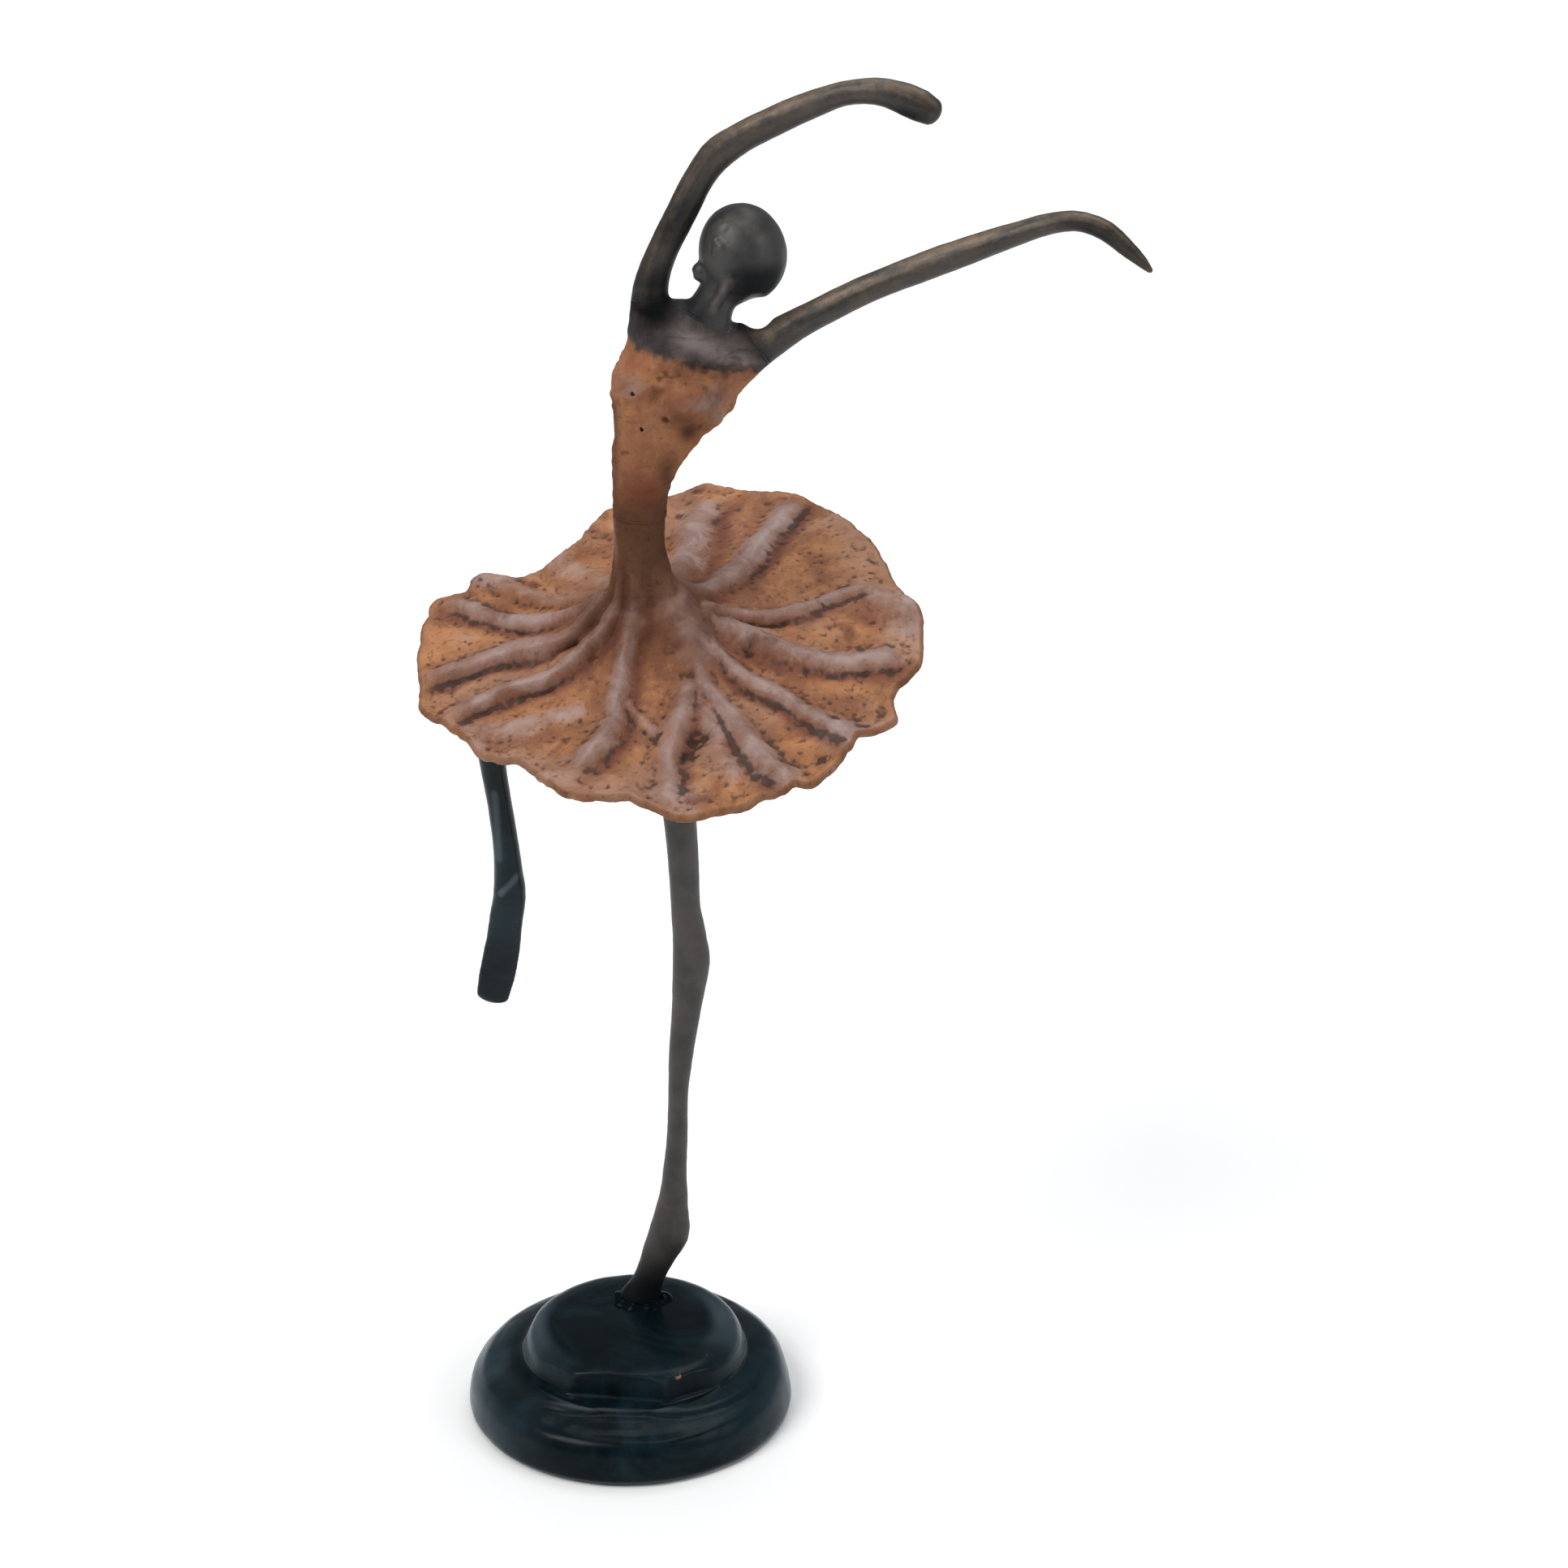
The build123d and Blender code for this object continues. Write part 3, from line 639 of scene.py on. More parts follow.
def ringed(rings):
    """Closed quads over rings of points, capped by a point at each end."""
    n, m, _ = rings.shape
    i, j = np.meshgrid(np.arange(n - 1), np.arange(m), indexing="ij")
    a, b = i * m + j, i * m + (j + 1) % m
    walls = np.stack([a, b, b + m, a + m], axis=-1).reshape(-1, 4)
    points = np.vstack([rings.reshape(-1, 3), rings[0].mean(axis=0), rings[-1].mean(axis=0)])
    j = np.arange(m)
    first, last = np.full(m, n * m), np.full(m, n * m + 1)
    top = np.stack([(j + 1) % m, j, first, first], axis=1)
    base = (n - 1) * m
    bottom = np.stack([base + j, base + (j + 1) % m, last, last], axis=1)
    return points, np.vstack([walls, top, bottom])


# ------------------------------------------------------------------ materials

class Graph:
    """Small helper that writes one material's node tree."""

    def __init__(self, name, metallic, roughness, specular):
        self.material = bpy.data.materials.new(name)
        self.material.use_nodes = True
        self.tree = self.material.node_tree
        self.shader = next(n for n in self.tree.nodes if n.type == "BSDF_PRINCIPLED")
        self.place = self.tree.nodes.new("ShaderNodeTexCoord").outputs["Object"]
        constants = {"Metallic": metallic, "Roughness": roughness, "Specular IOR Level": specular}
        for socket, value in constants.items():
            self.shader.inputs[socket].default_value = value

    def put(self, socket, value):
        if isinstance(value, bpy.types.NodeSocket):
            self.tree.links.new(value, socket)
        elif isinstance(value, tuple):
            socket.default_value = (*value, 1.0)[:len(socket.default_value)]
        else:
            socket.default_value = value

    def facing(self, axis):
        """How far the surface faces along one of the frame's axes, from -1 to 1."""
        geometry = self.tree.nodes.new("ShaderNodeNewGeometry")
        split = self.tree.nodes.new("ShaderNodeSeparateXYZ")
        self.put(split.inputs[0], geometry.outputs["Normal"])
        return split.outputs[axis]

    def value(self, name, vector=False):
        node = self.tree.nodes.new("ShaderNodeAttribute")
        node.attribute_name = name
        return node.outputs["Vector" if vector else "Fac"]

    def noise(self, scale, detail=3.0, roughness=0.55, place=None, stretch=(1, 1, 1), distortion=0.0):
        mapping = self.tree.nodes.new("ShaderNodeMapping")
        mapping.inputs["Scale"].default_value = stretch
        self.put(mapping.inputs["Vector"], place or self.place)
        node = self.tree.nodes.new("ShaderNodeTexNoise")
        self.put(node.inputs["Vector"], mapping.outputs["Vector"])
        constants = {"Scale": scale, "Detail": detail, "Roughness": roughness, "Distortion": distortion}
        for socket, amount in constants.items():
            node.inputs[socket].default_value = amount
        return node.outputs[0]

    def maths(self, operation, a, b=0.0, c=0.0):
        node = self.tree.nodes.new("ShaderNodeMath")
        node.operation = operation
        for socket, amount in zip(node.inputs, (a, b, c)):
            self.put(socket, amount)
        return node.outputs[0]

    def ramp(self, x, low, high):
        """0 below low and 1 above high, with an even slope between. Low may be the larger."""
        node = self.tree.nodes.new("ShaderNodeMapRange")
        node.interpolation_type = "SMOOTHSTEP"
        self.put(node.inputs["Value"], x)
        node.inputs["From Min"].default_value = low
        node.inputs["From Max"].default_value = high
        return node.outputs["Result"]

    def dull(self, amount):
        """Takes the gloss off where the amount nears 1."""
        specular = self.shader.inputs["Specular IOR Level"]
        self.put(specular, self.maths("MULTIPLY_ADD", amount, -0.95 * specular.default_value, specular.default_value))

    def mix(self, factor, a, b):
        node = self.tree.nodes.new("ShaderNodeMix")
        node.data_type = "RGBA"
        self.put(node.inputs[0], factor)
        self.put(node.inputs[6], a)
        self.put(node.inputs[7], b)
        return node.outputs[2]

    def tint(self, colour, mask, amount, over):
        """The colour, with another over it where the mask is and as strongly as the amount."""
        return self.mix(self.maths("MULTIPLY", mask, amount), colour, over)

    def bump(self, height, distance, strength=1.0, over=None):
        node = self.tree.nodes.new("ShaderNodeBump")
        node.inputs["Strength"].default_value = strength
        node.inputs["Distance"].default_value = distance
        self.put(node.inputs["Height"], height)
        if over:
            self.put(node.inputs["Normal"], over)
        return node.outputs["Normal"]

    def finish(self, colour, normal=None, roughness=None):
        self.put(self.shader.inputs["Base Color"], colour)
        for name, socket in {"Normal": normal, "Roughness": roughness}.items():
            if socket is not None:
                self.put(self.shader.inputs[name], socket)
        return self.material


def patina_dark(name, deep, mid, worn, wear, streaked=True):
    """Brown-black patina on a worn limb: soft streaks along it and edges worn to gold, with painted top light."""
    g = Graph(name, 0.25, 0.45, 0.42)
    cloud = g.noise(70.0, 4.0, 0.6)
    if streaked:
        streak = g.noise(1.0, 5.0, 0.6, g.value("flow", vector=True), (0.05, 0.42, 0.42))
    else:
        streak = g.noise(95.0, 4.0, 0.6, distortion=0.5)
    speck = g.noise(300.0, 4.0, 0.7)
    streak = g.maths("ADD", streak, g.maths("MULTIPLY_ADD", speck, 0.70, -0.35))
    colour = g.mix(g.ramp(cloud, 0.34, 0.68), deep, mid)
    # Painted top light: up-facing surfaces get more of the worn gold.
    top = g.ramp(g.facing(2), -0.1, 0.8)
    wear_and_top_light = g.maths("MULTIPLY", g.ramp(streak, 0.25, 0.80), g.maths("MULTIPLY_ADD", top, 0.75 * wear, 0.25 * wear))
    edge = g.ramp(g.value("relief"), 0.03, 0.26)
    wear_and_top_light = g.maths("MAXIMUM", wear_and_top_light, g.maths("MULTIPLY", edge, g.maths("MULTIPLY_ADD", streak, 0.7, 0.15)))
    colour = g.mix(wear_and_top_light, colour, worn)
    hollow = g.ramp(g.value("relief"), -0.03, -0.30)
    colour = g.tint(colour, hollow, 0.8, (0.006, 0.006, 0.007))
    # Painted highlight, in the worn colour.
    colour = g.mix(g.value("painted_highlight"), colour, worn)
    colour = g.mix(g.value("shade"), colour, (0.004, 0.006, 0.008))
    g.dull(g.value("shade"))
    rough = g.maths("MULTIPLY_ADD", cloud, 0.24, 0.34)
    grain = g.bump(streak, 0.00022, 0.35)
    normal = g.bump(g.noise(850.0, 3.0), 0.00010, 0.7, grain)
    return g.finish(colour, normal, rough)


def patina_black(name, specular):
    """Satin blue-black patina, worn thin on its edges with a painted highlight along them, and other painted
    highlights and reflections.
    """
    g = Graph(name, 0.0, 0.34, specular)
    sheen = {"Sheen Weight": 0.30, "Sheen Roughness": 0.26, "Sheen Tint": (0.72, 0.90, 1.0, 1.0)}
    for socket, value in sheen.items():
        g.shader.inputs[socket].default_value = value
    cloud = g.noise(34.0, 5.0, 0.6, distortion=1.2)
    brushed = g.noise(60.0, 4.0, 0.6, stretch=(1, 1, 5))
    colour = g.mix(g.ramp(cloud, 0.36, 0.68), (0.0007, 0.0034, 0.0052), (0.0044, 0.0140, 0.0190))
    # Edges lighter: worn patina, with a painted highlight along them.
    edge = g.ramp(g.value("relief"), 0.05, 0.32)
    colour = g.tint(colour, edge, 0.40, (0.085, 0.100, 0.108))
    # Painted highlights and reflections in pale blue-grey.
    colour = g.mix(g.value("painted_highlight"), colour, (0.075, 0.105, 0.125))
    colour = g.mix(g.value("nick"), colour, (0.40, 0.21, 0.11))
    colour = g.mix(g.value("shade"), colour, (0.0008, 0.0020, 0.0026))
    g.dull(g.value("shade"))
    rough = g.maths("MULTIPLY_ADD", brushed, 0.20, 0.16)
    normal = g.bump(brushed, 0.00012, 0.35)
    return g.finish(colour, g.bump(g.noise(600.0, 3.0), 0.00006, 0.5, normal), rough)


def rust_layers(g, proud, depth):
    """Colour, roughness and bump of the rust: crust in hollows, and worn mauve-grey where it is proud."""
    blotch = g.noise(70.0, 5.0, 0.62, distortion=0.6)
    patch = g.noise(28.0, 3.0, 0.55)
    fine = g.noise(430.0, 4.0, 0.68)
    crumbs = g.noise(1150.0, 3.0, 0.65)
    valley = g.mix(g.ramp(blotch, 0.34, 0.66), (0.195, 0.074, 0.034), (0.385, 0.170, 0.070))
    valley = g.tint(valley, g.ramp(patch, 0.46, 0.64), 0.55, (0.335, 0.190, 0.125))
    valley = g.tint(valley, g.ramp(fine, 0.56, 0.74), 0.6, (0.430, 0.215, 0.095))
    valley = g.tint(valley, g.ramp(fine, 0.44, 0.28), 0.75, (0.090, 0.034, 0.018))
    crest = g.mix(g.ramp(blotch, 0.32, 0.68), (0.178, 0.104, 0.085), (0.300, 0.210, 0.188))
    crest = g.tint(crest, g.ramp(patch, 0.52, 0.66), 0.55, (0.265, 0.128, 0.098))
    crest = g.tint(crest, g.ramp(fine, 0.42, 0.26), 0.35, (0.120, 0.068, 0.054))
    height = g.maths("ADD", proud, g.maths("MULTIPLY_ADD", blotch, 1.3, -0.65))
    height = g.maths("ADD", height, g.maths("MULTIPLY_ADD", fine, 0.8, -0.4))
    on_crest = g.ramp(height, 0.22, 1.15)
    valley = g.tint(valley, g.value("gully"), g.ramp(blotch, 0.26, 0.52), (0.120, 0.034, 0.018))
    colour = g.mix(on_crest, valley, crest)
    hollow = g.ramp(g.maths("MULTIPLY_ADD", fine, 0.14, depth), 0.02, -0.26)
    colour = g.tint(colour, hollow, 0.85, (0.040, 0.020, 0.014))
    glint = g.maths("MULTIPLY", g.ramp(crumbs, 0.715, 0.77), g.ramp(height, 0.55, 1.0))
    colour = g.tint(colour, glint, 0.8, (0.75, 0.68, 0.62))
    rough = g.maths("MULTIPLY_ADD", on_crest, -0.26, 0.72)
    grit = g.maths("MULTIPLY_ADD", crumbs, 0.35, fine)
    grit = g.maths("MULTIPLY", grit, g.maths("MULTIPLY_ADD", on_crest, -0.55, 1.0))
    return colour, rough, g.bump(grit, 0.00060, 0.75)


def waist_tone(g, colour, amount):
    """The waist's and bodice's redder, smoother rust."""
    redder = g.mix(0.42, colour, (0.205, 0.074, 0.032))
    smear = g.noise(46.0, 4.0, 0.6, stretch=(1, 1, 0.45), distortion=0.8)
    redder = g.tint(redder, g.ramp(smear, 0.46, 0.66), 0.60, (0.110, 0.040, 0.022))
    return g.mix(amount, colour, redder)


def patina_rust():
    g = Graph("rust_crust_patina", 0.05, 0.62, 0.30)
    colour, rough, normal = rust_layers(g, g.value("crest"), g.value("relief"))
    colour = waist_tone(g, colour, g.value("column"))
    colour = g.mix(g.value("shade"), colour, (0.026, 0.011, 0.007))
    g.dull(g.value("shade"))
    return g.finish(colour, normal, rough)


def patina_bodice():
    """Rust on the bodice, turning to the limbs' dark patina above a ragged neckline, with a painted highlight across
    the upper chest and painted shade.
    """
    g = Graph("bodice_patina", 0.05, 0.55, 0.30)
    proud = g.maths("MULTIPLY_ADD", g.value("relief"), 1.9, g.value("crest"))
    colour, rough, normal = rust_layers(g, proud, g.value("relief"))
    colour = waist_tone(g, colour, 1.0)
    colour = g.tint(colour, g.value("ember"), 0.7, (0.235, 0.058, 0.026))
    cloud = g.noise(80.0, 5.0, 0.62, distortion=0.5)
    fine = g.noise(420.0, 4.0, 0.65)
    dark = g.mix(g.ramp(cloud, 0.36, 0.66), (0.026, 0.021, 0.020), (0.082, 0.062, 0.056))
    streak = g.noise(70.0, 5.0, 0.65, stretch=(0.5, 1, 1.7), distortion=0.7)
    # Painted highlight: pale mauve streaks across the upper chest, where it turns up towards the lit arm.
    shawl_highlight = g.maths("MULTIPLY", g.value("shawl_highlight"), g.ramp(streak, 0.36, 0.64))
    dark = g.tint(dark, shawl_highlight, 0.85, (0.185, 0.148, 0.138))
    line = g.maths("ADD", g.value("rust"), g.maths("MULTIPLY_ADD", cloud, 1.3, -0.65))
    line = g.maths("ADD", line, g.maths("MULTIPLY_ADD", fine, 0.9, -0.45))
    colour = g.mix(g.ramp(line, 0.05, 0.95), dark, colour)
    colour = g.mix(g.value("shade"), colour, (0.026, 0.011, 0.007))
    # Painted deep shade, near black, in the armpit, at the neck's root and by the outstretched arm's seam.
    colour = g.mix(g.value("deep_shade"), colour, (0.003, 0.004, 0.005))
    g.dull(g.maths("MAXIMUM", g.value("deep_shade"), g.value("shade")))
    return g.finish(colour, normal, rough)


def felt_cloth():
    g = Graph("green_felt", 0.0, 0.95, 0.2)
    fuzz = g.noise(1500.0, 4.0, 0.7)
    matted = g.noise(160.0, 4.0, 0.6)
    colour = g.mix(g.ramp(matted, 0.35, 0.65), (0.010, 0.035, 0.022), (0.022, 0.062, 0.038))
    colour = g.tint(colour, fuzz, 0.4, (0.05, 0.10, 0.07))
    return g.finish(colour, g.bump(fuzz, 0.0004, 0.8))


def pale_floor():
    g = Graph("pale_floor", 0.0, 0.9, 0.15)
    tone = g.noise(2.0, 2.0)
    return g.finish(g.mix(tone, (0.90, 0.90, 0.90), (0.93, 0.93, 0.93)))


arm_metal = patina_dark(
    "arm_patina", (0.019, 0.018, 0.018), (0.044, 0.038, 0.033), (0.205, 0.140, 0.088), 0.75,
)
head_metal = patina_dark(
    "head_patina", (0.017, 0.017, 0.018), (0.044, 0.042, 0.041), (0.140, 0.110, 0.096), 0.30, False,
)
leg_metal = patina_dark(
    "leg_patina", (0.026, 0.024, 0.023), (0.052, 0.045, 0.042), (0.105, 0.078, 0.062), 0.40,
)
black_metal = patina_black("satin_black_patina", 0.09)
gloss_metal = patina_black("gloss_black_patina", 0.20)
rust_metal = patina_rust()
bodice_metal = patina_bodice()
felt = felt_cloth()


# ------------------------------------------------------------------ figure

def limb_piece(body, seam, key):
    """Field of a casting that plugs into its parent at the seam."""
    def shape(X, Y, Z):
        skin, own = body(X, Y, Z)
        return np.maximum(skin, np.maximum(GROOVE - SEAM_LAP - past(X, Y, Z, seam), own[key] - SEAM_REACH))
    return shape


def ring_piece(body, seam, key):
    """Field of the filler between two castings: a hollow ring one groove long."""
    def shape(X, Y, Z):
        skin, own = body(X, Y, Z)
        beyond = past(X, Y, Z, seam)
        slab = np.maximum(-beyond, beyond - GROOVE)
        near = own[key] - SEAM_REACH if key else -1
        return np.maximum(np.maximum(skin, -(skin + GROOVE)), np.maximum(slab, near))
    return shape


def parent_piece(body, seam, lap, joins):
    """Field of a casting from its own seam on, less the castings that plug into it."""
    def shape(X, Y, Z):
        skin, own = body(X, Y, Z)
        skin = np.maximum(skin, GROOVE - lap - past(X, Y, Z, seam))
        for join, key in joins:
            taken = np.maximum(SEAM_LAP - past(X, Y, Z, join), own[key] - SEAM_REACH + SEAM_LAP)
            skin = np.maximum(skin, -taken)
        return skin
    return shape


def bead_shape(X, Y, Z):
    """Low uneven run of filler round the toe."""
    bead = egg(X, Y, Z, (FOOT[0], FOOT[1], BASE_TOP - 0.9), (10.2, 7.9, 2.3), (0, 0, 1))
    for dx, dy, radius in ((-6.4, -2.6, 1.3), (-2.6, -5.9, 1.5), (3.4, -5.2, 1.2), (7.6, 0.4, 1.4), (-8.4, 1.2, 1.2)):
        bead = merge(bead, ball(X, Y, Z, (FOOT[0] + dx, FOOT[1] + dy, BASE_TOP - 0.2), radius), 3.5)
    bead = bead - 0.16 * noise(X, Y, Z, 3.4, 8)
    leg = standing_leg_bar.near(X, Y, Z)[0]
    return np.maximum(np.maximum(bead, -leg - SEAM_LAP), (BASE_TOP - 0.8) - Z)


def build_figure():
    shoulders = [(RAISED_SHOULDER, "raised"), (EXTENDED_SHOULDER, "extended"), (NECK_ROOT, "neck")]
    sculpt("bodice", "bodice_torso", bodice_metal, FINE, 3.0,
           parent_piece(upper_body, WAIST, SEAM_LAP, shoulders), torso_bar, 1, bodice_masks)
    sculpt("arm_overhead", "raised_arm", arm_metal, MEDIUM, 3.0,
           limb_piece(upper_body, RAISED_SHOULDER, "raised"), raised_arm_bar, masks=arm_masks)
    sculpt("arm_outstretched", "extended_arm", arm_metal, MEDIUM, 3.0,
           limb_piece(upper_body, EXTENDED_SHOULDER, "extended"), extended_arm_bar, masks=outstretched_masks)
    sculpt("head", "head_and_neck", head_metal, FINE, 3.0,
           limb_piece(upper_body, NECK_ROOT, "neck"), neck_bar, masks=head_masks)
    sculpt("leg_standing", "standing_leg", leg_metal, MEDIUM, 3.0,
           limb_piece(lower_body, STANDING_HIP, "standing"), standing_leg_bar, masks=leg_masks)
    sculpt("leg_lifted", "raised_leg", gloss_metal, MEDIUM, 3.0,
           limb_piece(lower_body, RAISED_HIP, "raised"), raised_leg_bar, masks=lifted_masks)
    hips = [(STANDING_HIP, "standing"), (RAISED_HIP, "raised")]
    sculpt("hips", "pelvis_block", leg_metal, MEDIUM, 3.0,
           parent_piece(lower_body, PELVIS_TOP, 0.0, hips), pelvis_bar, masks=hip_masks)
    sculpt("foot_bead", "foot_braze_bead", black_metal, 0.35, 2.0, bead_shape, masks=bead_masks)


def dab(x, z, at, reach):
    """Soft-edged patch on the picture plane, 1 at its middle."""
    return np.exp(-((x - at[0]) / reach[0]) ** 2 - ((z - at[1]) / reach[1]) ** 2)


def armpit(x, y, z):
    """Painted shade in the hollow between the raised arm and the neck."""
    ragged = 1.8 * noise(x, y, z, 4.0, 13)
    hollow = np.exp(-(((x - 12.5 + ragged) / 9.5) ** 2 + ((z - 388.0 + ragged) / 7.0) ** 2) ** 1.5)
    inside = dab(x, z, (14.0, 396.0), (7.0, 7.0))
    return np.maximum(0.94 * hollow, 0.80 * inside)


def bodice_masks(x, y, z):
    """Values for where the rust ends, the pale shawl above it as a painted highlight, painted shade, and worn
    mauve-grey patches with painted highlights on the breasts.
    """
    line = np.interp(x, [2, 6.5, 15.7, 20.5, 29, 36], [379.5, 377.6, 375.6, 373.4, 371.6, 369.2])
    line = line + 1.9 * noise(x, y, z, 4.0, 11) + 1.5 * noise(x, y, z, 1.6, 12)
    shawl = 383.4 - 0.50 * (x - 18.5)
    front = smoothstep(-1, -5, y)
    shade = 0.70 * smoothstep(344, 323, z)
    chips = smoothstep(0.15, 0.75, noise(x, y, 2.0 * z, 2.0, 14)) * smoothstep(-0.1, 0.5, noise(x, y, z, 6.0, 15))
    shade = np.maximum(shade, 0.60 * chips * smoothstep(330, 345, z))
    shade = np.maximum(shade, 0.50 * np.exp(-((z - line - 0.6) / 1.6) ** 2) * smoothstep(20, 26, x) * front)
    shade = np.maximum(shade, 0.70 * dab(x, z, (23.5, 351.5), (3.6, 4.5)))
    shade = np.maximum(shade, 0.60 * dab(x, z, (16.5, 337.0), (3.0, 7.0)))
    shade = np.maximum(shade, 0.55 * smoothstep(4.2, 0.5, x) * smoothstep(366, 358, z))
    return {
        "rust": smoothstep(3.4, -3.4, z - line),
        # Painted highlight of the pale shawl, in front only.
        "shawl_highlight": np.exp(-((z - shawl) / 4.0) ** 2) * front * smoothstep(14, 22, x) * smoothstep(390, 384, z),
        "shade": shade,
        # Painted deep shade in the armpit, at the neck's root and by the outstretched arm's seam.
        "deep_shade": np.maximum(armpit(x, y, z), 0.72 * dab(x, z, (25.0, 389.5), (7.0, 3.6))
                           + 0.50 * smoothstep(5, 0, -past(x, y, z, EXTENDED_SHOULDER)) * smoothstep(364, 368, z)),
        "ember": dab(x, z, (9.5, 331.0), (5.5, 6.5))
        + 0.7 * dab(x, z, (8.0, 373.0), (5.0, 2.6)),
        # The first and last dabs are painted highlights on the breasts; the middle one is a mauve patch.
        "crest": 0.80 * dab(x, z, (6.0, 367.0), (4.0, 5.0))
        + 0.75 * dab(x, z, (32.0, 362.0), (5.0, 8.0))
        + 0.65 * dab(x, z, (25.0, 362.0), (6.0, 2.5)),
    }


def arm_masks(x, y, z):
    """Dark in the armpit, half way up the arm and in the palm."""
    palm = 0.80 * dab(x, z, (87.0, 449.8), (9.0, 2.6))
    middle = 0.50 * np.exp(-((z - 414.0) / 13.0) ** 2) * smoothstep(40, 30, x)
    hand = 0.30 * smoothstep(76, 90, x)
    return {"shade": np.maximum.reduce([armpit(x, y, z), palm, middle, hand])}


def outstretched_masks(x, y, z):
    palm = 0.60 * np.exp(-((x - 144.0) / 14.0) ** 2 - ((z - 413.0 + 0.35 * (x - 144.0)) / 3.0) ** 2)
    hand = 0.36 * smoothstep(126, 150, x)
    root = 0.55 * smoothstep(5, 0, past(x, y, z, EXTENDED_SHOULDER))
    return {"shade": np.maximum.reduce([palm, hand, root])}


def lifted_masks(x, y, z):
    """Painted highlights down the shin and along the ankle."""
    shin = smoothstep(1.3, -0.3, rod(x, y, z, (-40.6, 8.5, 222.0), (-40.0, 7.6, 200.0), 0.9))
    ankle = smoothstep(1.0, -0.2, rod(x, y, z, (-39.4, 6.4, 188.0), (-33.6, 6.8, 194.0), 0.7))
    return {"painted_highlight": np.maximum(0.40 * shin, 0.55 * ankle)}


def head_masks(x, y, z):
    """Painted shade under the jaw and where the neck meets the shoulders, and a painted highlight along the neck's
    strand.
    """
    jaw = np.exp(-((x - 45.0) / 8.5) ** 4 - ((z - 398.2) / 6.4) ** 4)
    root = dab(x, z, (25.0, 388.0), (6.0, 4.0))
    # Painted highlight along the neck's strand.
    strand = smoothstep(2.2, -0.6, rod(x, y, z, (35.8, -13.0, 399.0), (31.0, -9.9, 390.0), 0.7))
    strand = strand * smoothstep(-0.7, 0.5, noise(x, y, z, 2.2, 16))
    return {"shade": np.clip((0.92 * jaw + 0.85 * root) * (1 - 0.5 * strand), 0, 0.95), "painted_highlight": 0.45 * strand}


def hip_masks(x, y, z):
    """Darker towards the lifted leg."""
    return {"shade": 0.88 * smoothstep(9, 0, x)}


def bead_masks(x, y, z):
    return {"shade": 0.55 + 0.35 * smoothstep(10.0, 5.5, np.hypot(x - FOOT[0], 1.25 * (y - FOOT[1])))}


def leg_masks(x, y, z):
    return {"shade": 0.92 * smoothstep(60, 36, z)}


def build_seam_rings():
    for node, body, seam, key, metal, bar, masks in (
        ("raised_shoulder_braze_ring", upper_body, RAISED_SHOULDER, "raised", bodice_metal, torso_bar, bodice_masks),
        ("extended_shoulder_braze_ring", upper_body, EXTENDED_SHOULDER, "extended", arm_metal, extended_arm_bar,
         outstretched_masks),
        ("neck_braze_ring", upper_body, NECK_ROOT, "neck", head_metal, neck_bar, head_masks),
        ("waist_braze_ring", upper_body, WAIST, None, bodice_metal, torso_bar, bodice_masks),
        ("standing_hip_braze_ring", lower_body, STANDING_HIP, "standing", leg_metal, standing_leg_bar, None),
        ("raised_hip_braze_ring", lower_body, RAISED_HIP, "raised", leg_metal, raised_leg_bar, hip_masks),
        ("pelvis_braze_ring", lower_body, PELVIS_TOP, None, leg_metal, pelvis_bar, None),
    ):
        name = node.replace("braze_ring", "seam")
        sculpt(name, node, metal, 0.3, 2.5, ring_piece(body, seam, key), bar, 1, masks)


# ------------------------------------------------------------------ skirt

skirt_n = unit(SKIRT_NORMAL)
skirt_u = unit(np.cross((0, 1, 0), skirt_n))
skirt_v = np.cross(skirt_n, skirt_u)


def turn_from(degrees, centre):
    """Signed angle from a centre direction, in degrees."""
    return (degrees - centre + 180) % 360 - 180


